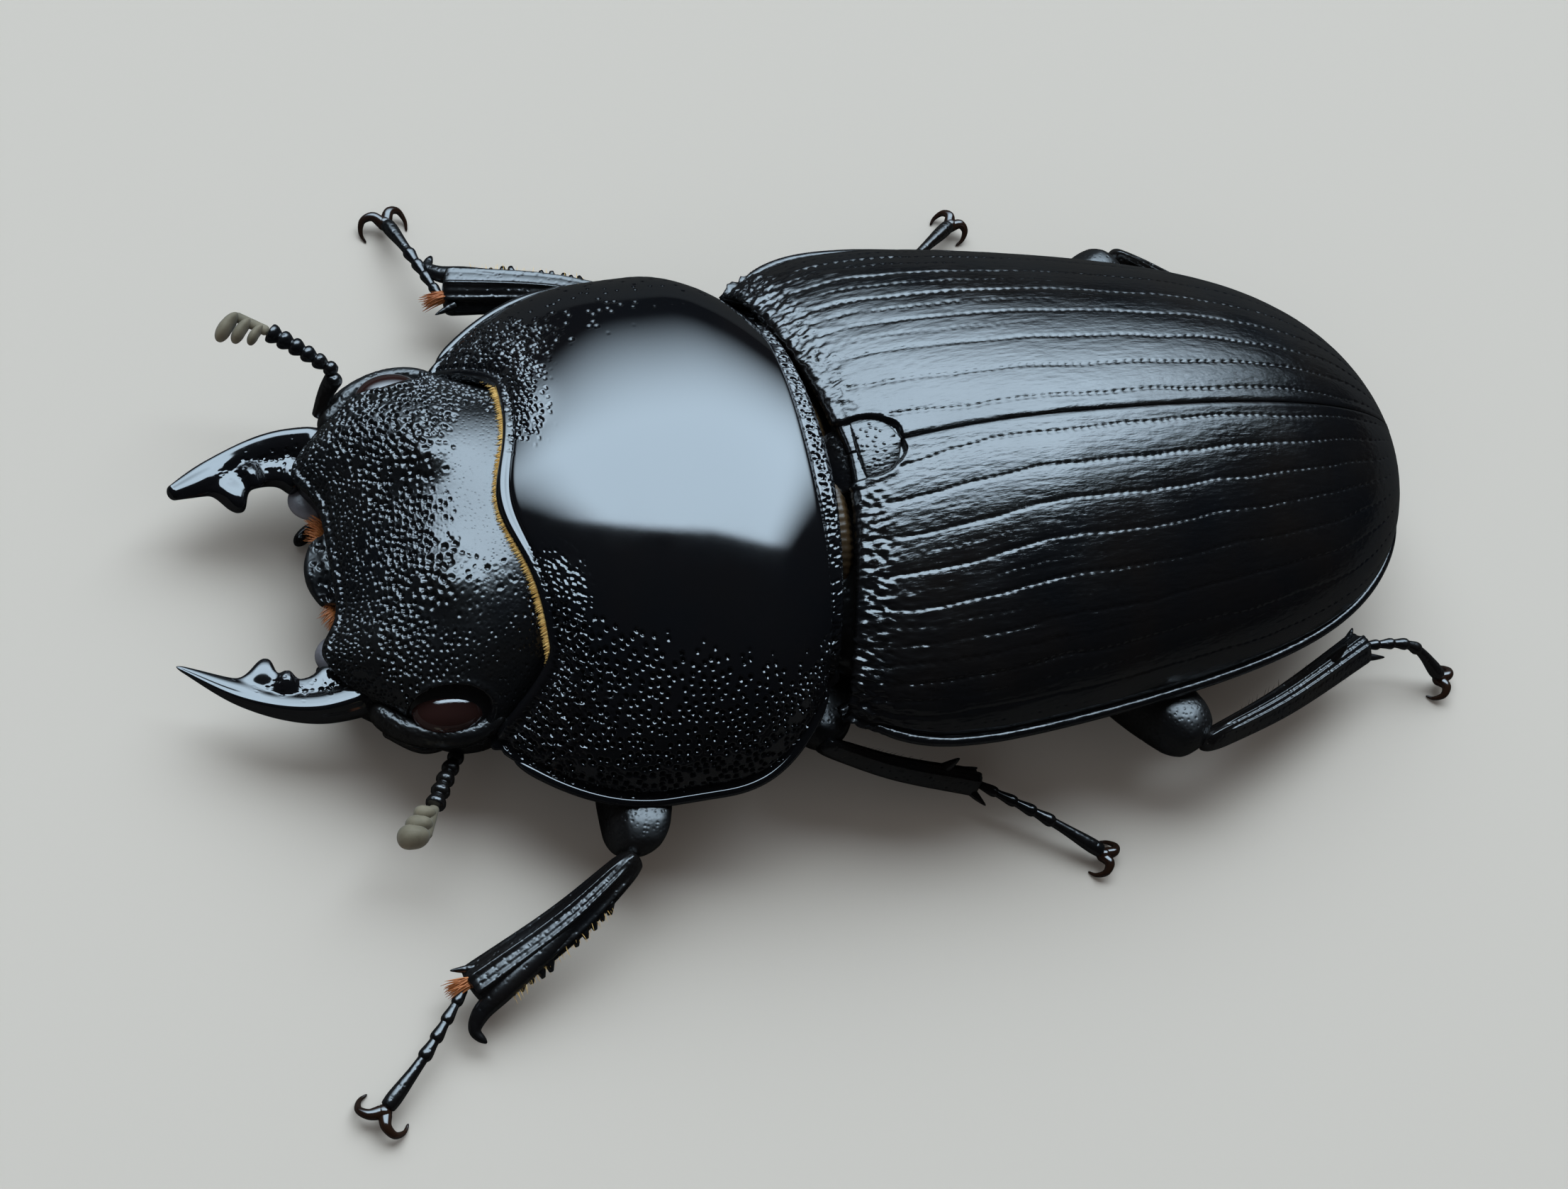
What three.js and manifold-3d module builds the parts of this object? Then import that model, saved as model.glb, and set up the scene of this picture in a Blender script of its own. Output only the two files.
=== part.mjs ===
// A life-size stag beetle (female form, short jaws), standing on its six feet.
// Millimetres. +Z is up, the head points to -Y, the beetle's left side is +X.
import * as THREE from 'three';
import { mergeVertices } from 'three/addons/utils/BufferGeometryUtils.js';
import Module from 'manifold-3d';

const wasm = await Module();
wasm.setup();

// ---- Driving dimensions ----

const BODY_PITCH = THREE.MathUtils.degToRad(-4); // tail carried lower than the chest
const BODY_LIFT = 0.4; // height added under the body by the legs
const FORE_YAW = THREE.MathUtils.degToRad(-2.63); // prothorax and head turned a little
const FORE_DROOP = THREE.MathUtils.degToRad(11.64); // prothorax and head hang forward
const FORE_PIVOT = new THREE.Vector3(0, 1.275, 6); // where the prothorax hinges

const ELYTRA_LENGTH = 21.47;
const ELYTRA_HALF_WIDTH = 8.42;
const ELYTRA_RIM = 4.41; // height of the outer edge
const ELYTRA_CREST = 8.75; // height of the highest point
const ELYTRA_THICKNESS = 0.55;
const CORE_END = 0.965; // where the abdomen stops, as a share of the elytra

const PRONOTUM_RIM = 4.07;
const PRONOTUM_CREST = 8.5;
const PRONOTUM_SIDE_SHIFT = 0.15; // prothorax sits a little to the left
const PRONOTUM_THICKNESS = 0.7;

const HEAD_BACK = -7.9;
const HEAD_FRONT = -14.25;
const HEAD_SIDE_LEVEL = 3.9; // height of the widest line of the head

const EYE_CENTRE = new THREE.Vector3(5.14, -11.6, 4.66);
const EYE_RADII = new THREE.Vector3(0.78, 1.1, 0.66);

const GAP = 0.1; // air left between neighbouring pieces
const CLAW_THICKNESS = 0.2;
const FEELER_RADIUS = 0.26;
const COXA_RADII = new THREE.Vector3(1.45, 1.05, 0.95);
const THORN_RADIUS = 0.22;
const DIGGING_TEETH = 4; // on the outer edge of each fore shin
const TARSUS_JOINTS = 5;

// ---- Materials ----

const shell = new THREE.MeshStandardMaterial({ color: 0x0b0c0e, roughness: 0.16, metalness: 0 });
const roughShell = new THREE.MeshStandardMaterial({ color: 0x0c0c0d, roughness: 0.42, metalness: 0 });
const limbShell = new THREE.MeshStandardMaterial({ color: 0x0d0b0a, roughness: 0.26, metalness: 0 });
const eyeShell = new THREE.MeshStandardMaterial({ color: 0x140a06, roughness: 0.08, metalness: 0 });
const clawShell = new THREE.MeshStandardMaterial({ color: 0x1c100b, roughness: 0.25, metalness: 0 });
const felt = new THREE.MeshStandardMaterial({ color: 0x6d675b, roughness: 0.85, metalness: 0 });

// ---- Shape helpers ----

const { clamp, lerp } = THREE.MathUtils;
const vec = (x, y, z) => new THREE.Vector3(x, y, z);

/** Moves every vertex of a geometry by a function, keeping only its positions. */
function warp(geometry, move) {
  const positions = geometry.attributes.position;
  const point = new THREE.Vector3();
  for (let i = 0; i < positions.count; i++) {
    point.fromBufferAttribute(positions, i);
    const moved = move(point.clone());
    positions.setXYZ(i, moved.x, moved.y, moved.z);
  }
  return facingOut(weld(geometry));
}

/** Turns every triangle round when the shape has come out inside out. */
function facingOut(geometry) {
  const { position } = geometry.attributes;
  const corner = (i) => new THREE.Vector3().fromBufferAttribute(position, geometry.index.getX(i));
  let volume = 0;
  for (let i = 0; i < geometry.index.count; i += 3) {
    volume += corner(i).dot(corner(i + 1).cross(corner(i + 2)));
  }
  if (volume < 0) geometry.index.array.reverse();
  return geometry;
}

/** Leaves a closed mesh with shared vertices and nothing but positions. */
function weld(geometry) {
  geometry.deleteAttribute('normal');
  geometry.deleteAttribute('uv');
  return mergeVertices(geometry, 1e-4);
}

/** A closed plate between two surfaces, each a function of along (0-1) and across (from-to). */
function plate(outer, inner, steps, from = -1, to = 1) {
  const box = new THREE.BoxGeometry(1, 1, 1, steps.across, steps.along, 1);
  return warp(box, (p) => {
    const along = p.y + 0.5;
    const across = lerp(from, to, p.x + 0.5);
    return p.z > 0 ? outer(along, across) : inner(along, across);
  });
}

/** A closed limb: rings of a given half width and half height round a smooth path. */
function limb(path, section, { steps = 8, sides = 8, up = vec(0, 0, 1) } = {}) {
  const curve = new THREE.CatmullRomCurve3(path);
  const cylinder = new THREE.CylinderGeometry(1, 1, 1, sides, steps);
  return warp(cylinder, (p) => {
    const t = 0.5 - p.y;
    const forward = curve.getTangent(t);
    const side = up.clone().cross(forward).normalize();
    const top = forward.clone().cross(side);
    const { width, height } = section(t);
    return curve.getPoint(t).addScaledVector(side, p.x * width).addScaledVector(top, p.z * height);
  });
}

/** An egg shape about a centre. */
function egg(centre, radii, sides = 12, rings = 8) {
  const sphere = new THREE.SphereGeometry(1, sides, rings);
  return warp(sphere, (p) => p.multiply(radii).add(centre));
}

/** How far along a rounded end is filled: 0 at the tip, 1 from the given share on. */
function roundEnd(t, share) {
  return Math.sqrt(1 - (1 - clamp(t / share, 0, 1)) ** 2);
}

// ---- Joining and cutting ----

function toSolid(geometry) {
  const merged = weld(geometry.clone());
  return new wasm.Manifold(new wasm.Mesh({
    numProp: 3,
    vertProperties: new Float32Array(merged.attributes.position.array),
    triVerts: new Uint32Array(merged.index.array),
  }));
}

function fromSolid(solid) {
  const mesh = solid.getMesh();
  const geometry = new THREE.BufferGeometry();
  geometry.setAttribute('position', new THREE.BufferAttribute(mesh.vertProperties.slice(), 3));
  geometry.setIndex(new THREE.BufferAttribute(mesh.triVerts.slice(), 1));
  return geometry;
}

function join(...geometries) {
  return fromSolid(geometries.map(toSolid).reduce((sum, next) => sum.add(next)));
}

/** The same shape, swollen along its normals. */
function grown(geometry, distance) {
  const copy = weld(geometry.clone());
  copy.computeVertexNormals();
  const normals = copy.attributes.normal;
  const positions = copy.attributes.position;
  for (let i = 0; i < positions.count; i++) {
    positions.setXYZ(
      i,
      positions.getX(i) + normals.getX(i) * distance,
      positions.getY(i) + normals.getY(i) * distance,
      positions.getZ(i) + normals.getZ(i) * distance,
    );
  }
  return copy;
}

/** Cuts the space of other pieces, plus a gap, out of a piece. Each may stand in its own frame. */
function carve(mesh, cutters, gap = GAP) {
  const toLocal = mesh.matrixWorld.clone().invert();
  let solid = toSolid(mesh.geometry);
  for (const cutter of cutters) {
    const shape = grown(cutter.geometry, gap);
    shape.applyMatrix4(toLocal.clone().multiply(cutter.matrixWorld));
    solid = solid.subtract(toSolid(shape));
  }
  mesh.geometry = fromSolid(solid);
}

// ---- Groups ----

const model = new THREE.Group();
const ground = new THREE.Group(); // everything, before it is centred
const body = new THREE.Group();
const fore = new THREE.Group();
const forePivot = new THREE.Group();

body.rotation.x = BODY_PITCH;
body.position.z = BODY_LIFT;
forePivot.position.copy(FORE_PIVOT);
forePivot.rotation.set(FORE_DROOP, 0, FORE_YAW, 'ZYX');
fore.position.copy(FORE_PIVOT).negate();
model.add(ground);
ground.add(body);
body.add(forePivot);
forePivot.add(fore);

const pieces = {};

function add(parent, name, geometry, material) {
  const mesh = new THREE.Mesh(geometry, material);
  mesh.name = name;
  parent.add(mesh);
  pieces[name] = mesh;
  return mesh;
}

// ---- Elytra, scutellum, abdomen and hind thorax ----

/** Half the width of the closed elytra. */
function elytraHalfWidth(along) {
  const shoulder = 1 - 0.14 * clamp(1 - along / 0.2, 0, 1) ** 3;
  const taper = 1 - 0.32 * clamp((along - 0.2) / 0.8, 0, 1) ** 1.4;
  return ELYTRA_HALF_WIDTH * shoulder * taper * Math.sqrt(clamp(1 - along ** 8.5, 0, 1));
}

/** Height of the elytra along the middle seam. */
function elytraCrest(along) {
  const baseDip = 1.55 * clamp(1 - along / 0.36, 0, 1) ** 2;
  const fall = clamp((along - 0.36) / 0.64, 0, 1);
  const rise = ELYTRA_CREST - ELYTRA_RIM;
  return ELYTRA_RIM + rise * Math.sqrt(clamp(1 - fall ** 2.5, 0, 1)) - baseDip;
}

/** The outer skin of the elytra, lowered and narrowed by a depth. */
function elytraSkin(along, across, depth = 0) {
  const reach = Math.abs(across);
  const halfWidth = Math.max(elytraHalfWidth(along) - depth * 0.9, 0.02);
  const crest = Math.max(elytraCrest(along) - depth, ELYTRA_RIM);
  const baseCurve = (1 - reach ** 1.5 + 0.25 * reach ** 8) * (1 - along) ** 4;
  const length = ELYTRA_LENGTH - depth;
  const arch = clamp(1 - reach ** 2, 0, 1) ** (1 / 1.75);
  return vec(halfWidth * across, length * along + baseCurve, ELYTRA_RIM + (crest - ELYTRA_RIM) * arch);
}

/** Crowds the steps along a plate towards its far end, where it rounds off. */
const towardsEnd = (t) => 1 - (1 - t) ** 1.7;

/** One wing case: a shell between the outer skin and a deeper copy of it. */
function elytron(side) {
  const beside = (point) => {
    point.x += side * GAP / 2;
    return point;
  };
  const steps = { across: 7, along: 15 };
  const outer = (t, across) => beside(elytraSkin(towardsEnd(t), across));
  const inner = (t, across) => beside(elytraSkin(towardsEnd(t), across, ELYTRA_THICKNESS));
  return side > 0 ? plate(outer, inner, steps, 0, 1) : plate(outer, inner, steps, -1, 0);
}

for (const [name, side] of [['elytron_left', 1], ['elytron_right', -1]]) {
  add(body, name, elytron(side), shell);
}

const SCUTELLUM = { base: 1.0, tip: 2.5, halfWidth: 0.96, depth: 0.7, proud: 0.06 };

/** The small shield between the elytra: round-sided, coming to a blunt tip. */
function shield(margin) {
  const { base, tip, halfWidth, depth, proud } = SCUTELLUM;
  const outline = (along) => (halfWidth + margin) * Math.sqrt(clamp(1.04 - along ** 2.2, 0, 1));
  const place = (along, across, lift) => {
    const y = lerp(base - margin, tip + margin, along);
    const under = elytraSkin(clamp((y - 1) / ELYTRA_LENGTH, 0, 1), 0);
    return vec(outline(along) * across, y, under.z + lift - 0.25 * across ** 2);
  };
  const top = margin > 0 ? 2 : proud;
  return plate(
    (along, across) => place(along, across, top),
    (along, across) => place(along, across, -depth - margin),
    { across: 4, along: 5 },
  );
}

add(body, 'scutellum', shield(0), shell);

/** Underside of the hind body, and the room the elytra leave over it. */
function coreTop(along, across) {
  const point = elytraSkin(along, across, ELYTRA_THICKNESS + GAP * 1.7);
  point.z -= 0.6 * clamp(1 - along / 0.18, 0, 1);
  return point;
}

function coreBottom(along, across) {
  const point = coreTop(along, across);
  const depth = 3.35 * clamp(1.03 - along ** 3.2, 0, 1) ** 0.6;
  const arch = clamp(1 - Math.abs(across) ** 2.6, 0, 1) ** (1 / 1.6);
  const grooves = along > 0.45 ? 0.12 * Math.max(0, Math.cos(along * Math.PI * 2 * 9.5)) ** 6 : 0;
  point.z = ELYTRA_RIM - 0.45 - depth * arch + grooves;
  return point;
}

function coreLength(from, to, steps) {
  return plate(
    (t, across) => coreTop(lerp(from, to, towardsEnd(t)), across),
    (t, across) => coreBottom(lerp(from, to, towardsEnd(t)), across),
    steps,
  );
}

const collar = egg(vec(0, 0.9, 4.3), vec(5.0, 2.2, 1.8), 10, 6);
add(body, 'hind_thorax', join(coreLength(0.03, 0.4, { across: 8, along: 3 }), collar), roughShell);
add(body, 'abdomen', coreLength(0.406, CORE_END, { across: 6, along: 8 }), roughShell);

// ---- Prothorax ----

/** Height along the middle of the pronotum. */
function pronotumCrest(y) {
  const peak = -3.6;
  return PRONOTUM_CREST - (y < peak ? 0.03 : 0.05) * (y - peak) ** 2;
}

/** Half the width of the pronotum: narrow at the front corners, widest behind the middle. */
function pronotumHalfWidth(along) {
  const front = 6.05 + 2.55 * (1 - clamp(1 - along / 0.48, 0, 1) ** 2.1);
  return front - 2.7 * clamp((along - 0.62) / 0.38, 0, 1) ** 2.3;
}

/** Front edge: a low tongue in the middle, hollow behind the eyes, corners drawn forward. */
function pronotumFront(reach) {
  const tongue = 0.75 * Math.exp(-((reach / 0.33) ** 2));
  const corner = 1.9 * clamp((reach - 0.72) / 0.28, 0, 1) ** 1.6;
  return -8.55 - tongue - corner;
}

/** Hind edge: bowed back in the middle. */
function pronotumBack(reach) {
  return 0.5 - 0.75 * reach ** 2;
}

/** The outer skin of the pronotum, lowered and narrowed by a depth. */
function pronotumSkin(along, across, depth = 0) {
  const reach = Math.abs(across);
  const halfWidth = pronotumHalfWidth(along) - depth * 0.7;
  const y = lerp(pronotumFront(reach) + depth * 0.3, pronotumBack(reach) - depth * 0.3, along);
  const arch = clamp(1 - reach ** 2.3, 0, 1) ** (1 / 1.8);
  const rim = PRONOTUM_RIM + 0.9 * clamp((along - 0.75) / 0.25, 0, 1) ** 2;
  const crest = pronotumCrest(lerp(-9.3, 0.5, along)) - depth;
  return vec(halfWidth * across + PRONOTUM_SIDE_SHIFT, y, rim + (crest - rim) * arch);
}

const pronotum = plate(
  (along, across) => pronotumSkin(along, across),
  (along, across) => pronotumSkin(along, across, PRONOTUM_THICKNESS),
  { across: 12, along: 8 },
);
add(fore, 'pronotum', pronotum, shell);

function prosternumTop(along, across) {
  return pronotumSkin(lerp(0.1, 0.9, along), across, PRONOTUM_THICKNESS + GAP * 2);
}

function prosternumBottom(along, across) {
  const point = prosternumTop(along, across);
  const keel = 0.35 * Math.exp(-((across / 0.16) ** 2)) * Math.sin(Math.PI * along);
  const arch = clamp(1 - Math.abs(across) ** 2.4, 0, 1) ** (1 / 1.5);
  const depth = 1.7 + 0.7 * Math.sin(Math.PI * along);
  point.z = Math.min(point.z, PRONOTUM_RIM) - 0.3 - (depth + keel) * arch;
  return point;
}

add(fore, 'prosternum', plate(prosternumTop, prosternumBottom, { across: 8, along: 4 }), roughShell);

// ---- Head ----

/** Half the width of the head: neck, temples, cheeks round the eyes, then the front corners. */
function headHalfWidth(along) {
  const cheek = 4.4 + 1.75 * THREE.MathUtils.smoothstep(along, 0.16, 0.58);
  return cheek - 1.35 * clamp((along - 0.62) / 0.38, 0, 1) ** 1.8;
}

/** Front edge: straight over the lip, with a lobe over the root of each jaw. */
function headFrontEdge(reach) {
  const corner = 1.2 * clamp((reach - 0.8) / 0.2, 0, 1) ** 1.5;
  const lobe = 0.65 * Math.exp(-(((reach - 0.62) / 0.17) ** 2));
  return HEAD_FRONT + corner - lobe;
}

/** Top of the head: domed nape, a sunk brow with two low knobs, a drooping front. */
function headTop(along, across) {
  const reach = Math.abs(across);
  const x = headHalfWidth(along) * across;
  const y = lerp(HEAD_BACK, headFrontEdge(reach), along);
  const crest = 7.15 - 2.05 * along ** 2.5;
  const knobs = 0.28 * Math.exp(-(((Math.abs(x) - 2.2) / 0.9) ** 2) - ((y + 11.2) / 0.9) ** 2);
  const arch = clamp(1 - reach ** 2.7, 0, 1) ** (1 / 1.9);
  return vec(x, y, HEAD_SIDE_LEVEL + 0.1 + (crest - HEAD_SIDE_LEVEL) * arch + knobs);
}

function headBottom(along, across) {
  const point = headTop(along, across);
  const arch = clamp(1 - Math.abs(across) ** 2.6, 0, 1) ** (1 / 1.6);
  point.z = HEAD_SIDE_LEVEL - 0.35 - lerp(1.6, 1.1, along ** 2) * arch;
  return point;
}

add(fore, 'head', plate(headTop, headBottom, { across: 10, along: 8 }), roughShell);

const LABRUM = { halfWidth: 1.25, back: -13.9, front: -14.85, under: 3.75 };

const labrum = plate(
  (along, across) => {
    const x = LABRUM.halfWidth * across * (1 - 0.2 * along);
    return vec(x, lerp(LABRUM.back, LABRUM.front, along), lerp(4.75, 4.35, along));
  },
  (along, across) => {
    const x = (LABRUM.halfWidth - 0.05) * across * (1 - 0.2 * along);
    return vec(x, lerp(LABRUM.back, LABRUM.front + 0.1, along), LABRUM.under);
  },
  { across: 3, along: 1 },
);
add(fore, 'labrum', labrum, roughShell);

const labium = egg(vec(0, -12.4, 2.15), vec(1.7, 1.9, 0.42), 8, 5);
add(fore, 'labium', labium, roughShell);

/** Round section of a palp, a little swollen before its blunt tip. */
function feelerSection(t) {
  const radius = FEELER_RADIUS * (0.85 + 0.2 * Math.sin(Math.PI * t)) * (0.4 + 0.6 * roundEnd(1 - t, 0.2));
  return { width: radius, height: radius };
}

for (const [name, side] of [['left', 1], ['right', -1]]) {
  const centre = EYE_CENTRE.clone().multiply(vec(side, 1, 1));
  add(fore, `eye_${name}`, egg(centre, EYE_RADII, 10, 6), eyeShell);
  const palp = [vec(side * 2.3, -13.8, 2.15), vec(side * 2.5, -14.4, 2.1), vec(side * 2.1, -15.0, 2.1)];
  add(fore, `palp_${name}`, limb(palp, feelerSection, { steps: 4, sides: 5 }), limbShell);
}

// ---- Mandibles ----

/** One jaw: a bowed blade with a given tip, a round inner tooth below and a smaller one above. */
function mandible(side, tip, tipRadius) {
  const at = (x, y, z) => vec(side * x, y, z);
  const blade = limb(
    [at(3.85, -13.9, 4.1), at(4.05, -15.3, 4.15), at(3.6, -17.2, 4.35), tip],
    (t) => ({ width: tipRadius + 0.72 * (1 - t ** 1.7), height: tipRadius + 0.75 * (1 - t ** 1.1) }),
    { steps: 7, sides: 8 },
  );
  const tooth = (from, to, radius) => limb([from, to], (t) => {
    const fill = radius * (0.5 + 0.5 * roundEnd(1 - t, 0.5));
    return { width: fill, height: fill };
  }, { steps: 2, sides: 6 });
  const lower = tooth(at(3.7, -16.9, 4.3), at(2.6, -17.0, 4.4), 0.44);
  const upper = tooth(at(3.8, -16.2, 4.5), at(2.8, -16.3, 4.8), 0.36);
  return join(blade, lower, upper);
}

add(fore, 'mandible_left', mandible(1, vec(2.55, -19.1, 4.75), 0.1), shell);
add(fore, 'mandible_right', mandible(-1, vec(-2.95, -18.55, 4.9), 0.2), shell); // worn blunt

// ---- Antennae ----

/** A string of beads: each joint swells towards its far end. */
function beads(count, radius) {
  return (t) => {
    const within = (t * count) % 1;
    const swell = t < 1 ? 0.72 + 0.28 * Math.sin(Math.PI * clamp(within, 0, 1) ** 0.7) : 0.6;
    return { width: radius * swell, height: radius * swell };
  };
}

const FUNICLE = { joints: 6, radius: 0.3 };

const ANTENNAE = {
  left: {
    scape: [vec(4.5, -12.9, 2.3), vec(5.0, -11.7, 1.85), vec(4.65, -10.5, 1.65)],
    funicle: [vec(5.1, -10.55, 1.85), vec(6.2, -11.36, 2.2), vec(7.1, -11.93, 2.42)],
    club: [vec(7.2, -12, 2.45), vec(8.1, -12.45, 2.5)],
    lobe: vec(-0.12, -0.72, 0),
  },
  right: {
    scape: [vec(-5.75, -12.8, 2.7), vec(-6.25, -12.5, 3.4), vec(-6.5, -12.2, 3.95)],
    funicle: [vec(-6.72, -12.5, 4.15), vec(-7.3, -13.2, 4.25), vec(-7.95, -14, 4.3)],
    club: [vec(-8, -14.05, 4.3), vec(-8.65, -14.95, 4.3)],
    lobe: vec(0.5, -0.5, -0.1),
  },
};

const LEAF = { length: 1.4, halfWidth: 0.42, halfThickness: 0.26 }; // length counts in lobe vectors

/** The club: three flat leaves side by side on a short stem. */
function club([from, to], lobe) {
  const along = to.clone().sub(from);
  const stemSection = () => ({ width: FEELER_RADIUS, height: FEELER_RADIUS });
  const stem = limb([from, to], stemSection, { steps: 1, sides: 5 });
  const leaves = [0.22, 0.58, 0.94].map((t, i) => {
    const size = 0.9 + 0.12 * i;
    const root = from.clone().addScaledVector(along, t);
    const tip = root.clone().addScaledVector(lobe, size * LEAF.length);
    const leafSection = (s) => ({
      width: LEAF.halfThickness * roundEnd(1.02 - s, 0.5),
      height: LEAF.halfWidth * size * roundEnd(1.02 - s, 0.6),
    });
    const up = along.clone().normalize().cross(lobe).normalize();
    return limb([root, tip], leafSection, { steps: 2, sides: 6, up });
  });
  return join(stem, ...leaves);
}

for (const [name, shape] of Object.entries(ANTENNAE)) {
  const scapeSection = (t) => {
    const radius = FEELER_RADIUS * (0.9 + 0.4 * t ** 2) * (0.5 + 0.5 * roundEnd(1 - t, 0.15));
    return { width: radius, height: radius };
  };
  const scape = limb(shape.scape, scapeSection, { steps: 4, sides: 6 });
  const funicle = limb(shape.funicle, beads(FUNICLE.joints, FUNICLE.radius), { steps: 12, sides: 5 });
  add(ground, `antenna_${name}_scape`, scape, limbShell);
  add(ground, `antenna_${name}_funicle`, funicle, limbShell);
  add(ground, `antenna_${name}_club`, club(shape.club, shape.lobe), felt);
}

// ---- Legs ----

// femur and tibia give each one's half width and half height at its fullest.
const LEGS = {
  front_left: {
    hip: vec(2.6, -4.9, 1.8), knee: vec(9.78, -6.53, 2.83), ankle: vec(12.4, -11.8, 0.95),
    foot: [vec(13.9, -13.45, 0.8), vec(15.05, -14.7, 0.5)],
    femur: [1.3, 0.78], tibia: [0.78, 0.42], digs: true,
  },
  front_right: {
    hip: vec(-2.9, -4.6, 1.9), knee: vec(-8.35, -2.4, 3.2), ankle: vec(-10.35, -7.7, 1.6),
    foot: [vec(-12.3, -8.35, 1.1), vec(-13.45, -8.6, 0.55)],
    femur: [1.3, 0.82], tibia: [0.78, 0.42], digs: true,
  },
  middle_left: {
    hip: vec(2.4, 2.1, 1.6), knee: vec(7.45, -0.35, 3.4), ankle: vec(8.65, 5.1, 1.2),
    foot: [vec(10.1, 7.1, 1.0), vec(11.2, 8.6, 0.55)],
    femur: [1.05, 0.85], tibia: [0.5, 0.5], digs: false,
  },
  middle_right: {
    hip: vec(-2.4, 2.1, 1.6), knee: vec(-6.9, 1.2, 3.2), ankle: vec(-8.5, 6.6, 1.2),
    foot: [vec(-10.2, 8.7, 1.0), vec(-11.45, 10.35, 0.55)],
    femur: [1.05, 0.85], tibia: [0.5, 0.5], digs: false,
  },
  hind_left: {
    hip: vec(3.0, 8.9, 1.4), knee: vec(9.3, 11.9, 3.2), ankle: vec(6.35, 19.3, 1.9),
    foot: [vec(6.55, 21.1, 1.7), vec(7.2, 22.2, 0.6)],
    femur: [1.25, 1.0], tibia: [0.58, 0.5], digs: false,
  },
  hind_right: {
    hip: vec(-3.0, 8.9, 1.4), knee: vec(-8.25, 14.4, 3.3), ankle: vec(-4.3, 21.0, 1.2),
    foot: [vec(-3.3, 22.3, 1.0), vec(-1.8, 23.1, 0.5)],
    femur: [1.25, 1.0], tibia: [0.58, 0.5], digs: false,
  },
};

/** Level direction square to a limb, towards the outer edge of the leg. */
function outward(from, to, side) {
  const forward = to.clone().sub(from).setZ(0).normalize();
  return vec(-forward.y, forward.x, 0).multiplyScalar(side * (forward.y < 0 ? 1 : -1));
}

/** A short spike, thick at its root. */
function thorn(root, tip, radius) {
  return limb([root, root.clone().lerp(tip, 0.5), tip], (t) => ({
    width: radius * (1 - 0.8 * t), height: radius * (1 - 0.8 * t),
  }), { steps: 1, sides: 4 });
}

/** The shin: narrow at the knee, broad at the ankle, with its thorns and spurs. */
function tibia({ knee, ankle, tibia: [halfWidth, halfHeight], digs }, side) {
  const out = outward(knee, ankle, side);
  const bow = knee.clone().lerp(ankle, 0.45).addScaledVector(out, 0.18);
  const section = (t) => ({
    width: halfWidth * (digs ? 0.45 + 0.55 * t ** 0.6 : 0.62 + 0.38 * t ** 0.8)
      * (0.6 + 0.4 * roundEnd(t, 0.12)),
    height: halfHeight * (0.85 + 0.1 * t) * (0.6 + 0.4 * roundEnd(1.02 - t, 0.12)),
  });
  const shin = limb([knee, bow, ankle], section, { steps: 5, sides: 6 });
  const forward = ankle.clone().sub(knee).normalize();
  const at = (t, outwards, rise = 0) => knee.clone().lerp(ankle, t).addScaledVector(out, outwards)
    .add(vec(0, 0, rise));
  const parts = [shin];
  if (digs) {
    const hook = [at(0.86, 0.5), at(1.06, 0.75), at(1.1, 1.35, -0.12)];
    const hookSection = (t) => ({ width: 0.42 * (1 - 0.6 * t), height: 0.34 * (1 - 0.6 * t) });
    parts.push(limb(hook, hookSection, { steps: 3, sides: 4 }));
    for (let i = 0; i < DIGGING_TEETH; i++) {
      const t = 0.3 + 0.15 * i;
      parts.push(thorn(at(t, 0.55), at(t + 0.02, 1.08), THORN_RADIUS));
    }
  } else {
    parts.push(thorn(at(0.76, 0, 0.1), at(0.82, -0.1, 1.15), THORN_RADIUS));
    parts.push(thorn(at(0.94, 0.2), at(1.06, 0.75), THORN_RADIUS));
  }
  const innerRoot = ankle.clone().addScaledVector(out, -0.35).addScaledVector(forward, -0.2);
  const innerTip = ankle.clone().addScaledVector(out, -0.55).addScaledVector(forward, 0.7);
  parts.push(thorn(innerRoot, innerTip, THORN_RADIUS));
  return join(...parts);
}

/** Two hooks on a small knob, standing on their trimmed tips. */
function claws(root, end) {
  const forward = end.clone().sub(root).setZ(0).normalize();
  const sideways = vec(-forward.y, forward.x, 0);
  const at = (ahead, beside, z) => end.clone().addScaledVector(forward, ahead)
    .addScaledVector(sideways, beside).setZ(z);
  const section = (t) => ({
    width: CLAW_THICKNESS * (1.1 - 0.6 * t), height: CLAW_THICKNESS * (1.15 - 0.55 * t),
  });
  const hook = (side) => limb([
    at(0.4, 0.08 * side, 0.42),
    at(0.64, 0.36 * side, 0.5),
    at(0.6, 0.68 * side, 0.3),
    at(0.2, 0.76 * side, -0.06),
  ], section, { steps: 3, sides: 4, up: forward.clone().negate() });
  const knob = egg(at(0.38, 0, 0.42), vec(0.24, 0.24, 0.26), 5, 3);
  const floor = new THREE.BoxGeometry(6, 6, 2);
  floor.translate(end.x, end.y, -1);
  const pair = join(knob, hook(1), hook(-1));
  return fromSolid(toSolid(pair).subtract(toSolid(floor)));
}

/** Section of a thigh: fullest near the middle, rounded at both ends. */
function femurSection([halfWidth, halfHeight]) {
  return (t) => {
    const belly = 0.72 + 0.28 * Math.sin(Math.PI * clamp(t * 0.95 + 0.05, 0, 1));
    const ends = 0.35 + 0.65 * roundEnd(t, 0.15) * roundEnd(1.01 - t, 0.16);
    return { width: halfWidth * belly * ends, height: halfHeight * belly * ends };
  };
}

/** Section of a foot: each joint flares towards its far end. */
function tarsusSection(t) {
  const swell = (t * TARSUS_JOINTS) % 1;
  const radius = 0.21 + 0.08 * swell + 0.05 * t;
  return { width: radius, height: radius };
}

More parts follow.
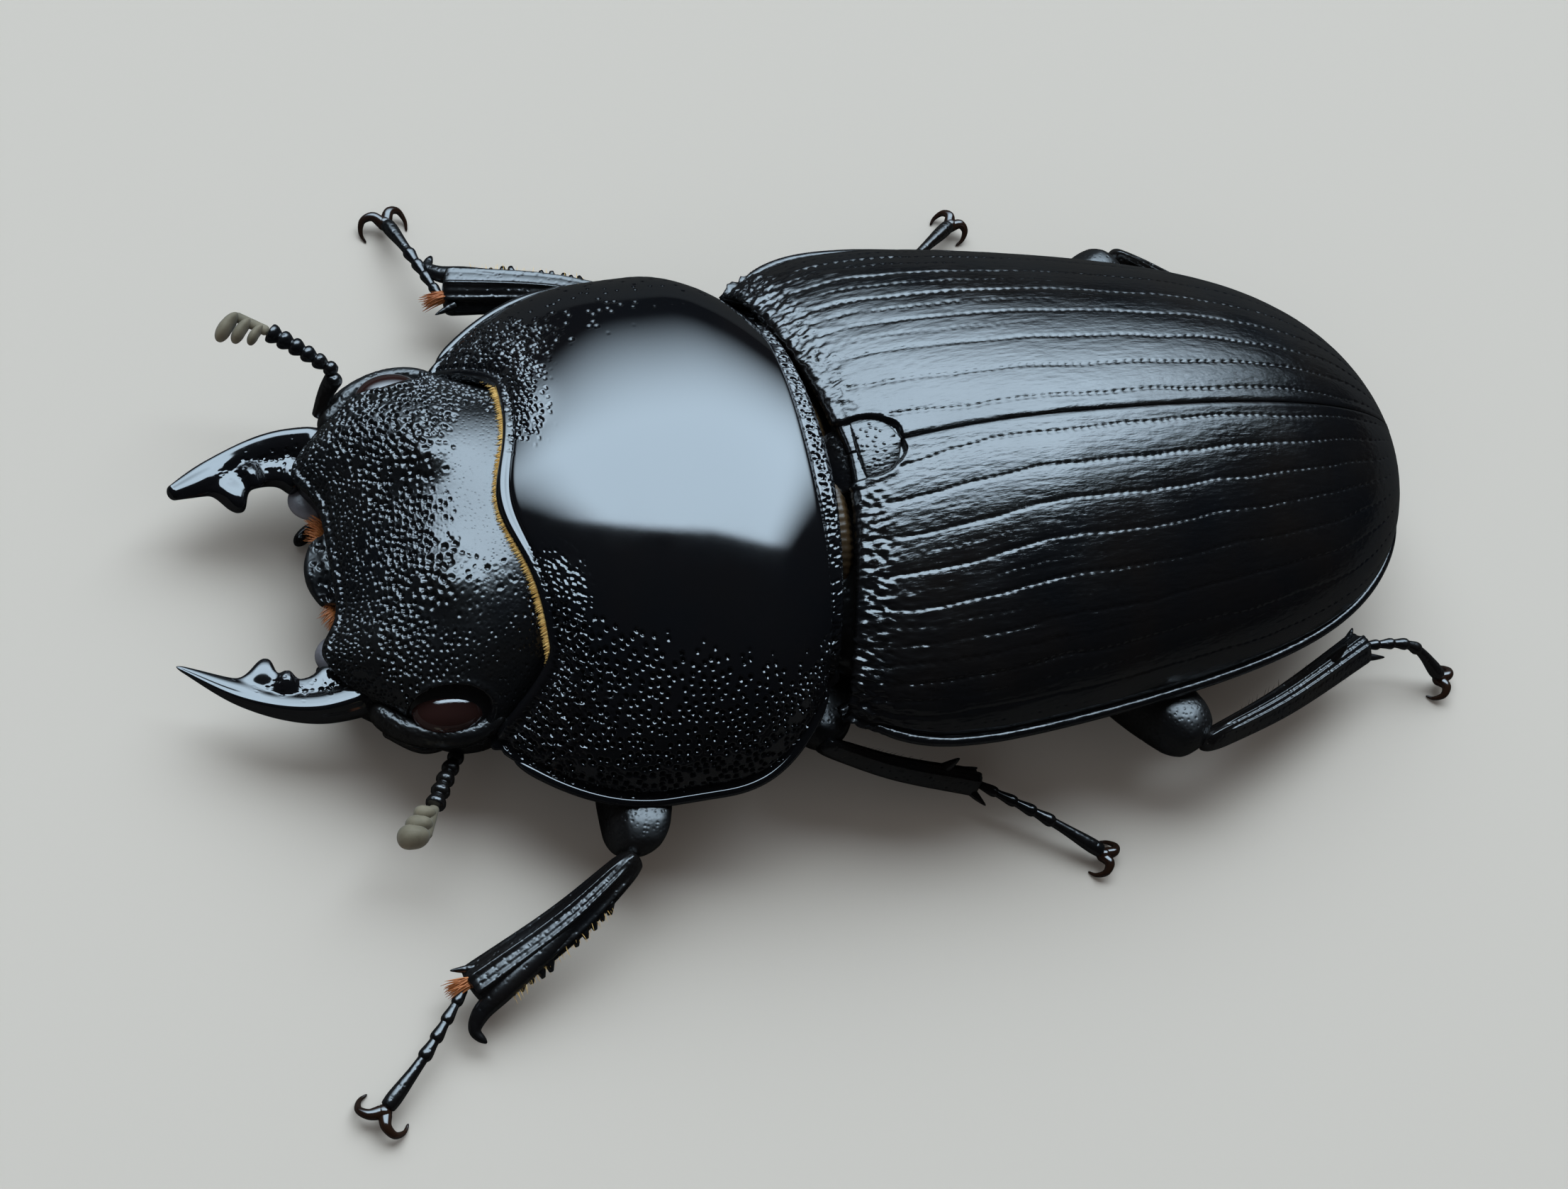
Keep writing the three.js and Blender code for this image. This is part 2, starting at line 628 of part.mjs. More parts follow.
for (const [name, leg] of Object.entries(LEGS)) {
  const side = name.endsWith('left') ? 1 : -1;
  const { hip, knee, ankle, foot } = leg;
  const reach = knee.clone().sub(hip).normalize();
  const thigh = [hip.clone().addScaledVector(reach, 1.6), hip.clone().lerp(knee, 0.6), knee];
  add(ground, `leg_${name}_coxa`, egg(hip, COXA_RADII, 8, 5), limbShell);
  add(ground, `leg_${name}_femur`, limb(thigh, femurSection(leg.femur), { steps: 6, sides: 8 }), limbShell);
  add(ground, `leg_${name}_tibia`, tibia(leg, side), limbShell);
  const heelShift = leg.digs ? -0.25 : 0; // a digging shin carries its foot nearer the inner edge
  const heel = ankle.clone().lerp(foot[0], 0.12).addScaledVector(outward(knee, ankle, side), heelShift);
  const tarsus = [heel, ...foot];
  add(ground, `leg_${name}_tarsus`, limb(tarsus, tarsusSection, { steps: 10, sides: 5 }), limbShell);
  add(ground, `leg_${name}_claws`, claws(foot[0], foot[1]), clawShell);
}

// ---- Thin cuts between neighbours ----

model.updateMatrixWorld(true);

const scutellumCutter = new THREE.Mesh(shield(GAP));
body.add(scutellumCutter);
scutellumCutter.updateMatrixWorld(true);
for (const name of ['elytron_left', 'elytron_right']) {
  carve(pieces[name], [scutellumCutter], 0.001);
}
body.remove(scutellumCutter);

/** A plain swollen stand-in for a piece, used only to cut its room out of a neighbour. */
function room(parent, geometry) {
  const mesh = new THREE.Mesh(geometry);
  mesh.applyMatrix4(parent.matrixWorld);
  mesh.updateMatrixWorld(true);
  return mesh;
}

const headRoom = room(fore, plate(
  (along, across) => headTop(along * 0.45, across),
  (along, across) => headBottom(along * 0.45, across),
  { across: 8, along: 2 },
));
carve(pieces.pronotum, [headRoom], 0.18);
carve(pieces.prosternum, [headRoom], 0.14);
carve(pieces.prosternum, [room(body, collar)]);

for (const side of [1, -1]) {
  carve(pieces.head, [
    room(fore, egg(EYE_CENTRE.clone().multiply(vec(side, 1, 1)), EYE_RADII, 10, 6)),
    room(fore, egg(vec(side * 3.9, -14.6, 4.1), vec(1.15, 1.2, 1.05), 8, 5)),
  ], 0.08);
}
carve(pieces.head, [
  pieces.labrum, pieces.labium, pieces.antenna_left_funicle,
  pieces.antenna_left_scape, pieces.antenna_right_scape,
], 0.08);

for (const [name, leg] of Object.entries(LEGS)) {
  carve(pieces[`leg_${name}_tibia`], [pieces[`leg_${name}_femur`]]);
  carve(pieces[`leg_${name}_tarsus`], [pieces[`leg_${name}_tibia`]]);
  const hostNames = name.startsWith('front') ? ['prosternum'] : ['hind_thorax', 'abdomen'];
  const reach = leg.knee.clone().sub(leg.hip).normalize();
  const [halfWidth, halfHeight] = leg.femur;
  const rooms = [
    room(ground, egg(leg.hip, COXA_RADII, 8, 5)),
    room(ground, limb([leg.hip.clone().addScaledVector(reach, 0.8), leg.knee], () => (
      { width: halfWidth, height: halfHeight }), { steps: 1, sides: 6 })),
  ];
  for (const host of hostNames) carve(pieces[host], rooms, GAP * 2);
}

// ---- Origin: on the floor, under the middle of the whole beetle ----

const bounds = new THREE.Box3().setFromObject(model, true);
ground.position.set(-(bounds.min.x + bounds.max.x) / 2, -(bounds.min.y + bounds.max.y) / 2, -bounds.min.z);
model.updateMatrixWorld(true);

export default model;
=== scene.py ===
# %% [markdown]
# # A life-size stag beetle
#
# The subject is a black stag beetle with short jaws, standing still on its claws.
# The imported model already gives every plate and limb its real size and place.
# This notebook gives them their looks: curved plates at full resolution, dotted rows,
# pits, bristles and a hard, glossy black skin.
# Shapes are worked out in millimetres, in the same frames as the model, and are turned
# into metres only when a piece is finished.

import math

import bmesh
import bpy
import numpy as np
from mathutils import Matrix, Vector


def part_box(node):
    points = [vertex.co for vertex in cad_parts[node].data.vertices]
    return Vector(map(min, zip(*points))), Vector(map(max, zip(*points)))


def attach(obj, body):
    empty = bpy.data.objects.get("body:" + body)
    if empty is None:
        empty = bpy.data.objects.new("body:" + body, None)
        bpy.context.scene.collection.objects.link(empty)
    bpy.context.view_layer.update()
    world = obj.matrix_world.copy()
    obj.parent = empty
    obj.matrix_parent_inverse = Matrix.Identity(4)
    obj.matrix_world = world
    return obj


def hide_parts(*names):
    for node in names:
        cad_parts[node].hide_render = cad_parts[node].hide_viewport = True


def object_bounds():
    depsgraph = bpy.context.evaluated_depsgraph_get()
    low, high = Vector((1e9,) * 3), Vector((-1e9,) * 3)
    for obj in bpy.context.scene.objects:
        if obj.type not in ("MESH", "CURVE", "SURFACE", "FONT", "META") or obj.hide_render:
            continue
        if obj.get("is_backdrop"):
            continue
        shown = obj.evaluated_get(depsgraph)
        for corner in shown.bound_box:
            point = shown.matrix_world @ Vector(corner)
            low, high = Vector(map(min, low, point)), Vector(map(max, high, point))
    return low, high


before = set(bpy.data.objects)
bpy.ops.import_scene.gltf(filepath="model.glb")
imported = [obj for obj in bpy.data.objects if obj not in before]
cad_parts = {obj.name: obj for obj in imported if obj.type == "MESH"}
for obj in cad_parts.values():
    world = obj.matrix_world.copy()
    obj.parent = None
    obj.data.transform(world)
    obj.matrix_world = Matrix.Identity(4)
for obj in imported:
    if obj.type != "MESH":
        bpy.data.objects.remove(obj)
cad_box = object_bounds()
MM = 0.001

print("nodes in the frame:", len(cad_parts))

# %% [markdown]
# ## Where the head and body stand
#
# A beetle's trunk is two stiff blocks with a waist between them. The hind block carries
# the wing cases. The front block is the prothorax with the head, and it hangs a little
# forward and to one side.
# One matrix could be typed in for each. It is safer to build them from the same pitch,
# droop and yaw as the model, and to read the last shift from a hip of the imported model.

# %% The two frames of the trunk
BODY_PITCH = math.radians(-4)
BODY_LIFT = 0.4
FORE_YAW = math.radians(-2.63)
FORE_DROOP = math.radians(11.64)
FORE_PIVOT = Vector((0, 1.275, 6))
MIDDLE_HIP = Vector((2.4, 2.1, 1.6))
SIDES = (("left", 1.0), ("right", -1.0))

hip_low, hip_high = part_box("leg_middle_left_coxa")
shift = (hip_low + hip_high) / (2 * MM) - MIDDLE_HIP
GROUND = Matrix.Scale(MM, 4) @ Matrix.Translation(shift)
BODY = GROUND @ Matrix.Translation((0, 0, BODY_LIFT)) @ Matrix.Rotation(BODY_PITCH, 4, "X")
fore_turn = Matrix.Rotation(FORE_YAW, 4, "Z") @ Matrix.Rotation(FORE_DROOP, 4, "X")
FORE = BODY @ Matrix.Translation(FORE_PIVOT) @ fore_turn @ Matrix.Translation(-FORE_PIVOT)

print("ground shift in mm:", [round(v, 3) for v in shift])

# %% [markdown]
# ## The camera
#
# The beetle is seen from above its left shoulder, with the head at the left of the
# picture. A camera could be placed by hand and aimed with a constraint. Here its place
# comes from an azimuth, an elevation, a roll and a distance to a point on the chest, so
# each can be read and changed alone.

# %% Camera
CAMERA_AZIMUTH = math.radians(48.91)
CAMERA_ELEVATION = math.radians(59.53)
CAMERA_ROLL = math.radians(29.13)
CAMERA_DISTANCE = 95.46 * MM
CAMERA_AIM = GROUND @ Vector((3.16, -0.739, 5.0))
CAMERA_LENS = 73.41

towards_camera = Vector((
    math.cos(CAMERA_ELEVATION) * math.sin(CAMERA_AZIMUTH),
    -math.cos(CAMERA_ELEVATION) * math.cos(CAMERA_AZIMUTH),
    math.sin(CAMERA_ELEVATION),
))
camera = bpy.data.objects.new("camera", bpy.data.cameras.new("camera"))
bpy.context.scene.collection.objects.link(camera)
camera.data.lens = CAMERA_LENS
camera.data.clip_start = MM
camera.data.clip_end = 20
upright = towards_camera.to_track_quat("Z", "Y").to_matrix().to_4x4()
camera.matrix_world = (
    Matrix.Translation(CAMERA_AIM + towards_camera * CAMERA_DISTANCE)
    @ upright
    @ Matrix.Rotation(CAMERA_ROLL, 4, "Z")
)
bpy.context.scene.camera = camera

print("camera height in mm:", round(camera.location.z / MM, 1))

# %% [markdown]
# ## Rules written as nodes
#
# Several shapes and finishes follow a short formula. A formula could be wired up node by
# node, but then it can't be read. The class below lets a socket be added, multiplied and
# raised to a power in plain Python, and puts one Math node in the tree for each step.
# It works in geometry trees and in shader trees alike.


# %% Rule: arithmetic on sockets
class Rule:
    """A number that varies over a shape: one output socket of a node tree."""

    def __init__(self, tree, socket):
        self.tree = tree
        self.socket = socket

    def step(self, operation, *values, clamp=False):
        node = self.tree.nodes.new("ShaderNodeMath")
        node.operation = operation
        node.use_clamp = clamp
        wire(self.tree, node, *enumerate(values))
        return Rule(self.tree, node.outputs[0])

    def __add__(self, other):
        return self.step("ADD", self, other)

    def __sub__(self, other):
        return self.step("SUBTRACT", self, other)

    def __rsub__(self, other):
        return self.step("SUBTRACT", other, self)

    def __mul__(self, other):
        return self.step("MULTIPLY", self, other)

    def __truediv__(self, other):
        return self.step("DIVIDE", self, other)

    def __rtruediv__(self, other):
        return self.step("DIVIDE", other, self)

    def __pow__(self, other):
        return self.step("POWER", self, other)

    __radd__ = __add__
    __rmul__ = __mul__

    def clamped(self):
        return self.step("ADD", self, 0.0, clamp=True)

    def eased(self):
        """Clamped to 0 and 1, with a soft start and a soft stop."""
        share = self.clamped()
        return share * share * (3 - share * 2)

    def of(self, operation, *others):
        return self.step(operation, self, *others)


def bump_of(distance, width):
    """A smooth hill: 1 where the distance is 0, and about a third at one width."""
    ratio = distance / width
    return (ratio * ratio * -1.0).of("EXPONENT")


# %% Nodes, wires and materials
def wire(tree, node, *wires):
    """Gives inputs of a node their values: numbers, sockets or rules."""
    for slot, value in wires:
        if isinstance(value, Rule):
            value = value.socket
        if isinstance(value, bpy.types.NodeSocket):
            tree.links.new(value, node.inputs[slot])
        else:
            node.inputs[slot].default_value = value


def put(tree, kind, *wires, **settings):
    """Adds a node, sets its options, and wires (input, value or socket) pairs to it."""
    node = tree.nodes.new(kind)
    for key, value in settings.items():
        setattr(node, key, value)
    wire(tree, node, *wires)
    return node


def mixed(tree, first, second, factor):
    """A mix of two colours, each of them four numbers or a socket."""
    wires = (("A", first), ("B", second), ("Factor", factor))
    return put(tree, "ShaderNodeMix", *wires, data_type="RGBA").outputs["Result"]


def scaled(tree, vector, factor):
    """A vector socket times a number."""
    wires = ((0, vector), ("Scale", factor))
    return put(tree, "ShaderNodeVectorMath", *wires, operation="SCALE").outputs[0]


def new_finish(name):
    """A material with nodes. Returns it, its tree and its main shader."""
    material = bpy.data.materials.new(name)
    material.use_nodes = True
    tree = material.node_tree
    return material, tree, tree.nodes["Principled BSDF"]


trial = bpy.data.node_groups.new("trial", "ShaderNodeTree")
bump_of(Rule(trial, put(trial, "ShaderNodeValue").outputs[0]), 2.0)
print("nodes for one value and one smooth hill:", len(trial.nodes))
bpy.data.node_groups.remove(trial)

# %% [markdown]
# ## Floor and light
#
# Black gloss shows its shape by what it mirrors. One broad, soft, faintly blue light
# from above the beetle's right side is mirrored as a pale patch over the chest, the nape
# and the front of the wing cases, and leaves the near side dark.
# Many small lamps would break that patch up, so one large area light does the work. Its
# edges fade, as those of an overcast sky between trees do. The room and a fill lamp
# soften the shadows on the floor, but are hidden from mirror rays, so they add no patch
# of their own to the shell. For the same reason the floor turns dark brown where it is
# seen in a mirror: beetle shell over pale card would look grey all round its edge.

# %% Floor
FLOOR_SIZE = 6.0
PALE_CARD = (0.54, 0.45, 0.375, 1)
MIRRORED_CARD = (0.028, 0.024, 0.02, 1)

floor_mesh = bpy.data.meshes.new("floor")
half = FLOOR_SIZE / 2
corners = [(-half, -half, 0), (half, -half, 0), (half, half, 0), (-half, half, 0)]
floor_mesh.from_pydata(corners, [], [(0, 1, 2, 3)])
floor = bpy.data.objects.new("floor", floor_mesh)
bpy.context.scene.collection.objects.link(floor)
floor_finish, floor_tree, floor_shader = new_finish("pale floor")
light_path = put(floor_tree, "ShaderNodeLightPath")
in_mirror = light_path.outputs["Is Glossy Ray"]
wire(
    floor_tree, floor_shader,
    ("Base Color", mixed(floor_tree, PALE_CARD, MIRRORED_CARD, in_mirror)),
    ("Roughness", 0.9), ("Specular IOR Level", 0.1),
)
floor_mesh.materials.append(floor_finish)
floor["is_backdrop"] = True
print("floor side in m:", FLOOR_SIZE)

# %% Lights
SKY_COLOUR = (0.66, 0.84, 1.0)
SKY_PLACE = (-0.28, 0.06, 0.43)
SKY_AIM = (0, 0, 0.3)
SKY_SIZE = (0.96, 0.74)
SKY_POWER = 14.3
FILL_PLACE = (0.35, -0.45, 0.42)
FILL_SIZE = (0.5, 0.5)
ROOM_COLOUR = (0.93, 0.96, 1.0, 1)
ROOM_STRENGTH = 0.22


def soft_panel(name, place, aim, size, power, sides=0.4, low=0.4, high=0.2, in_mirrors=True):
    """A large area light that fades towards its sides, its low edge and its high edge."""
    lamp = bpy.data.lights.new(name, "AREA")
    lamp.shape = "RECTANGLE"
    lamp.size, lamp.size_y = size
    lamp.energy = power
    lamp.color = SKY_COLOUR
    lamp.use_nodes = True
    tree = lamp.node_tree
    spot = put(tree, "ShaderNodeNewGeometry")
    split = put(tree, "ShaderNodeSeparateXYZ", (0, spot.outputs["Parametric"]))
    across = Rule(tree, split.outputs["X"])
    along = Rule(tree, split.outputs["Y"])
    fade = (across / sides).eased() * ((1 - across) / sides).eased()
    fade = fade * (along / low).eased() * ((1 - along) / high).eased()
    wire(tree, tree.nodes["Emission"], ("Strength", fade))
    panel = bpy.data.objects.new(name, lamp)
    bpy.context.scene.collection.objects.link(panel)
    panel.location = place
    panel.rotation_euler = (Vector(place) - Vector(aim)).to_track_quat("Z", "Y").to_euler()
    panel.visible_camera = False
    panel.visible_glossy = in_mirrors


soft_panel("sky", SKY_PLACE, SKY_AIM, SKY_SIZE, SKY_POWER, sides=0.24, low=0.5, high=0.10)
soft_panel("fill", FILL_PLACE, (0, 0, 0), FILL_SIZE, 1.0, in_mirrors=False)

world = bpy.data.worlds.new("room")
world.use_nodes = True
background = world.node_tree.nodes["Background"]
wire(world.node_tree, background, ("Color", ROOM_COLOUR), ("Strength", ROOM_STRENGTH))
world.cycles_visibility.glossy = False
bpy.context.scene.world = world
bpy.context.scene.view_settings.view_transform = "Standard"

# %% [markdown]
# ## Trees that grow pieces
#
# A Geometry Nodes tree is a recipe with named sizes. It could stay on its object as a
# live modifier, but the finished model has to be plain mesh. So each tree is run once on
# its start mesh, the result is kept, and the modifier is taken off again.


# %% Making a geometry tree
SOCKET_TYPES = {
    float: "NodeSocketFloat",
    int: "NodeSocketInt",
    str: "NodeSocketString",
    type(None): "NodeSocketMaterial",
}
print("kinds of size a tree can have:", len(SOCKET_TYPES))


def new_tree(name, **sizes):
    """A geometry tree with an input for each size. asked(label) reads a size as a rule."""
    tree = bpy.data.node_groups.new(name, "GeometryNodeTree")
    tree.interface.new_socket("Geometry", in_out="INPUT", socket_type="NodeSocketGeometry")
    for label, value in sizes.items():
        kind = SOCKET_TYPES[type(value)]
        socket = tree.interface.new_socket(label, in_out="INPUT", socket_type=kind)
        if value is not None:
            socket.default_value = value
    tree.interface.new_socket("Geometry", in_out="OUTPUT", socket_type="NodeSocketGeometry")
    start = tree.nodes.new("NodeGroupInput")
    end = tree.nodes.new("NodeGroupOutput")

    def asked(label):
        return Rule(tree, start.outputs[label])

    return tree, start, end, asked


# %% Steps that several trees share
def dress(tree, start, end, geometry):
    """The last two steps of every tree: real geometry, wearing one finish."""
    real = put(tree, "GeometryNodeRealizeInstances", ("Geometry", geometry))
    dressed = put(
        tree, "GeometryNodeSetMaterial",
        ("Geometry", real.outputs[0]), ("Material", start.outputs["Finish"]),
    )
    wire(tree, end, (0, dressed.outputs[0]))
    print(f"{tree.name} tree: {len(tree.nodes)} nodes")


def store(tree, geometry, label, value):
    """Keeps a number for every point under a name."""
    wires = (("Geometry", geometry), ("Name", label), ("Value", value))
    kind = "GeometryNodeStoreNamedAttribute"
    return put(tree, kind, *wires, data_type="FLOAT", domain="POINT").outputs[0]


def recall(tree, label, kind="FLOAT"):
    """Reads a stored value back."""
    node = put(tree, "GeometryNodeInputNamedAttribute", ("Name", label), data_type=kind)
    return node.outputs["Attribute"]


def raised(tree, geometry, height):
    """Moves each point along its normal."""
    normal = put(tree, "GeometryNodeInputNormal").outputs[0]
    wires = (("Geometry", geometry), ("Offset", scaled(tree, normal, height)))
    return put(tree, "GeometryNodeSetPosition", *wires).outputs[0]


# %% Running a tree
def grow(name, tree, start_mesh=None, **sizes):
    """Runs a tree on a start mesh and returns the plain mesh that comes out."""
    carrier = bpy.data.objects.new(name, start_mesh or bpy.data.meshes.new(name))
    bpy.context.scene.collection.objects.link(carrier)
    modifier = carrier.modifiers.new("grow", "NODES")
    modifier.node_group = tree
    for item in tree.interface.items_tree:
        if item.in_out == "INPUT" and item.name in sizes:
            modifier[item.identifier] = sizes[item.name]
    depsgraph = bpy.context.evaluated_depsgraph_get()
    mesh = bpy.data.meshes.new_from_object(carrier.evaluated_get(depsgraph))
    bpy.data.objects.remove(carrier)
    mesh.name = name
    return mesh


# %% [markdown]
# ## Sheets and limbs
#
# Plates such as the pronotum are sheets: a grid of points over a formula, rolled under
# at its edges so that it looks as thick as real shell. Legs and jaws are limbs: rings
# round a smooth path.
# Subdivision modelling could make both, but a formula keeps them exactly on the model's
# own sizes, and gives even rows of small faces for the relief that follows.


# %% Soft steps and hills
def clamp(value, low=0.0, high=1.0):
    return np.clip(value, low, high)


def smooth(value, low, high):
    """Goes softly from 0 to 1 as the value goes from low to high."""
    share = clamp((value - low) / (high - low))
    return share * share * (3 - 2 * share)


def hill(distance, width):
    return np.exp(-((distance / width) ** 2))


def unit(vectors):
    length = np.linalg.norm(vectors, axis=-1, keepdims=True)
    return vectors / np.maximum(length, 1e-9)


print("a hill at half its width:", round(float(hill(0.5, 1.0)), 2))


# %% Grids of points
def normals_of(grid):
    """Unit normals of a grid of points, on the side that faces up."""
    normals = unit(np.cross(np.gradient(grid, axis=1), np.gradient(grid, axis=0)))
    if normals[..., 2].mean() < 0:
        normals = -normals
    return normals


def run_from(grid, axis, from_end=False):
    """Distance in mm along the surface from one edge of a grid."""
    steps = np.linalg.norm(np.diff(grid, axis=axis), axis=-1)
    start = np.zeros_like(np.take(steps, [0], axis=axis))
    run = np.concatenate([start, np.cumsum(steps, axis=axis)], axis=axis)
    return np.max(run, axis=axis, keepdims=True) - run if from_end else run


def lifted(grid, height):
    """Moves every point of a grid along its normal."""
    return grid + normals_of(grid) * height[..., None]


def shares_of(rows, columns, start=0.0, stop=1.0):
    """Two grids of shares: along a skin, and across it from -1 to 1, crowded at the sides."""
    turns = np.linspace(-math.pi / 2, math.pi / 2, columns)
    along, turn = np.meshgrid(np.linspace(start, stop, rows), turns, indexing="ij")
    return along, np.sin(turn)


ROLL_STEPS = 5
print("shares across a sheet:", shares_of(1, 5)[1][0].round(2))


def rolled(grid, radius, steps=ROLL_STEPS, turn=math.radians(160)):
    """Adds rows and columns that roll the four edges of a grid under."""
    for axis in (0, 1):
        normals = normals_of(grid)
        for end in (0, -1):
            inner = 1 if end == 0 else -2
            edge = np.take(grid, end, axis=axis)
            outward = unit(edge - np.take(grid, inner, axis=axis))
            normal = np.take(normals, end, axis=axis)
            for step in range(1, steps + 1):
                angle = turn * step / steps
                row = edge + radius * (math.sin(angle) * outward - (1 - math.cos(angle)) * normal)
                row = np.expand_dims(row, axis)
                parts = [row, grid] if end == 0 else [grid, row]
                grid = np.concatenate(parts, axis=axis)
            pad = np.repeat(np.take(normals, [end], axis=axis), steps, axis=axis)
            parts = [pad, normals] if end == 0 else [normals, pad]
            normals = np.concatenate(parts, axis=axis)
    return grid


# %% From points to meshes
def mesh_from(name, points, faces, **marks):
    """A smooth mesh. Each mark is a number for every point, kept as an attribute."""
    mesh = bpy.data.meshes.new(name)
    mesh.from_pydata(points.reshape(-1, 3), [], faces, shade_flat=False)
    for label, values in marks.items():
        mark = mesh.attributes.new(label, "FLOAT", "POINT")
        mark.data.foreach_set("value", np.asarray(values, np.float32).ravel())
    return mesh


def grid_faces(rows, columns, closed=False):
    """Quads of a grid, wrapped round when its last column meets its first."""
    index = np.arange(rows * columns).reshape(rows, columns)
    if closed:
        index = np.concatenate([index, index[:, :1]], axis=1)
    quads = [index[:-1, :-1], index[1:, :-1], index[1:, 1:], index[:-1, 1:]]
    return np.stack(quads, axis=-1).reshape(-1, 4)


def face_outwards(mesh, close=True):
    """Merges doubles, closes each open rim with a fan, and points every face out."""
    work = bmesh.new()
    work.from_mesh(mesh)
    bmesh.ops.remove_doubles(work, verts=work.verts, dist=1e-5)
    if close:
        rims = [edge for edge in work.edges if edge.is_boundary]
        lids = bmesh.ops.holes_fill(work, edges=rims, sides=0)["faces"]
        bmesh.ops.poke(work, faces=lids, center_mode="MEAN")
    bmesh.ops.recalc_face_normals(work, faces=work.faces)
    for face in work.faces:
        face.smooth = True
    work.to_mesh(mesh)
    work.free()
    return mesh


def sheet(name, grid, radius, **marks):
    """A sheet whose four edges roll under. Its marks are 0 on the roll."""
    grid = rolled(grid, radius)
    rows, columns = grid.shape[:2]
    marks = {label: np.pad(values, ROLL_STEPS) for label, values in marks.items()}
    return face_outwards(mesh_from(name, grid, grid_faces(rows, columns), **marks))


print("quads of a 3 by 4 grid:", len(grid_faces(3, 4)))


# %% Smooth paths
def smooth_path(points, shares):
    """Points on a smooth curve through a few chosen ones, evenly shared between them."""
    points = np.asarray(points, float)
    before = 2 * points[0] - points[1]
    after = 2 * points[-1] - points[-2]
    line = np.vstack([before, points, after])
    gaps = np.linalg.norm(np.diff(line, axis=0), axis=1) ** 0.5
    knots = np.concatenate([[0], np.cumsum(gaps)])
    spans = len(points) - 1

    def between(time, low, high, first, last):
        return first + (last - first) * (time - low) / (high - low)

    places = []
    for share in np.atleast_1d(shares):
        span = min(int(share * spans), spans - 1)
        near = line[span:span + 4]
        knot = knots[span:span + 4]
        time = knot[1] + (share * spans - span) * (knot[2] - knot[1])
        lines = [between(time, knot[k], knot[k + 1], near[k], near[k + 1]) for k in range(3)]
        arcs = [between(time, knot[k], knot[k + 2], lines[k], lines[k + 1]) for k in range(2)]
        places.append(between(time, knot[1], knot[2], arcs[0], arcs[1]))
    return np.array(places)


print("a bend's middle:", smooth_path([(0, 0, 0), (1, 1, 0), (2, 0, 0)], 0.5)[0])


# %% Limbs round a path
def limb(name, path, section, rows=32, sides=24, up=(0, 0, 1), mark=None):
    """Rings round a path. section(share, angle) gives half width and half height."""
    shares = (1 - np.cos(np.linspace(0, math.pi, rows))) / 2
    line = smooth_path(path, shares)
    forward = unit(np.gradient(line, axis=0))
    side = unit(np.cross(np.asarray(up, float), forward))
    top = np.cross(forward, side)
    angles = np.linspace(0, 2 * math.pi, sides, endpoint=False)
    share, angle = np.meshgrid(shares, angles, indexing="ij")
    width, height = section(share, angle)
    across = (np.cos(angle) * width)[..., None] * side[:, None, :]
    above = (np.sin(angle) * height)[..., None] * top[:, None, :]
    rings = line[:, None, :] + across + above
    marks = {"pits": mark(share, angle)} if mark else {}
    faces = grid_faces(rows, sides, closed=True)
    return face_outwards(mesh_from(name, rings, faces, **marks))


def angle_from(angle, middle):
    """Shortest turn between an angle and a chosen one."""
    return np.abs((angle - middle + math.pi) % (2 * math.pi) - math.pi)


def ended(share, start=0.1, end=0.1):
    """Rounds a limb off: 0 at both tips, 1 between."""
    first = np.sqrt(clamp(1 - (1 - clamp(share / start)) ** 2))
    last = np.sqrt(clamp(1 - (1 - clamp((1 - share) / end)) ** 2))
    return first * last


print("how a limb's end fills out:", ended(np.array([0, 0.02, 0.05, 0.1, 0.5])).round(2))


# %% Mirror images, rods and eggs
def mirrored(mesh):
    """The same mesh for the other side of the body."""
    mesh.transform(Matrix.Scale(-1, 4, (1, 0, 0)))
    return face_outwards(mesh)


def on_side(mesh, side):
    """A mesh made for the left side, turned over if it is wanted on the right."""
    return mirrored(mesh) if side < 0 else mesh


def round_section(radius, start=0.1, end=0.1):
    """The section of an even round rod with rounded ends."""
    def section(share, angle):
        fill = radius * ended(share, start, end)
        return fill, fill
    return section


def egg(name, centre, radii, sides=32, rings=20):
    """A closed egg round a centre."""
    turns = np.linspace(0, 2 * math.pi, sides, endpoint=False)
    lie, turn = np.meshgrid(np.linspace(0, math.pi, rings), turns, indexing="ij")
    ball = np.stack([np.sin(lie) * np.cos(turn), np.cos(lie), np.sin(lie) * np.sin(turn)], -1)
    points = ball * np.asarray(radii) + np.asarray(centre)
    return face_outwards(mesh_from(name, points, grid_faces(rings, sides, closed=True)))


# %% [markdown]
# ## Effects that several finishes share
#
# Beetle shell is one substance with many surfaces: polished, leathery, pitted, a little
# dusty. Each material could carry its own noise nodes. Instead three small groups are
# built once, and every finish calls them with its own values. They put out only heights,
# masks and roughness, and the shaders stay in the materials.


# %% Making and calling a shader group
def new_group(name, inputs, output):
    """A shader group with named numbers in and one number out."""
    group = bpy.data.node_groups.new(name, "ShaderNodeTree")
    for label, value in inputs.items():
        socket = group.interface.new_socket(label, in_out="INPUT", socket_type="NodeSocketFloat")
        socket.default_value = value
    group.interface.new_socket(output, in_out="OUTPUT", socket_type="NodeSocketFloat")
    start = group.nodes.new("NodeGroupInput")
    end = group.nodes.new("NodeGroupOutput")
    values = {label: Rule(group, start.outputs[label]) for label in inputs}
    return group, values, end


def place_in_mm(tree):
    """Object coordinates, turned from metres into millimetres."""
    spot = put(tree, "ShaderNodeTexCoord")
    return scaled(tree, spot.outputs["Object"], 1 / MM)


def noise(tree, place, scale, detail=3.0):
    node = put(tree, "ShaderNodeTexNoise", ("Vector", place), ("Scale", scale), ("Detail", detail))
    return Rule(tree, node.outputs["Fac"])


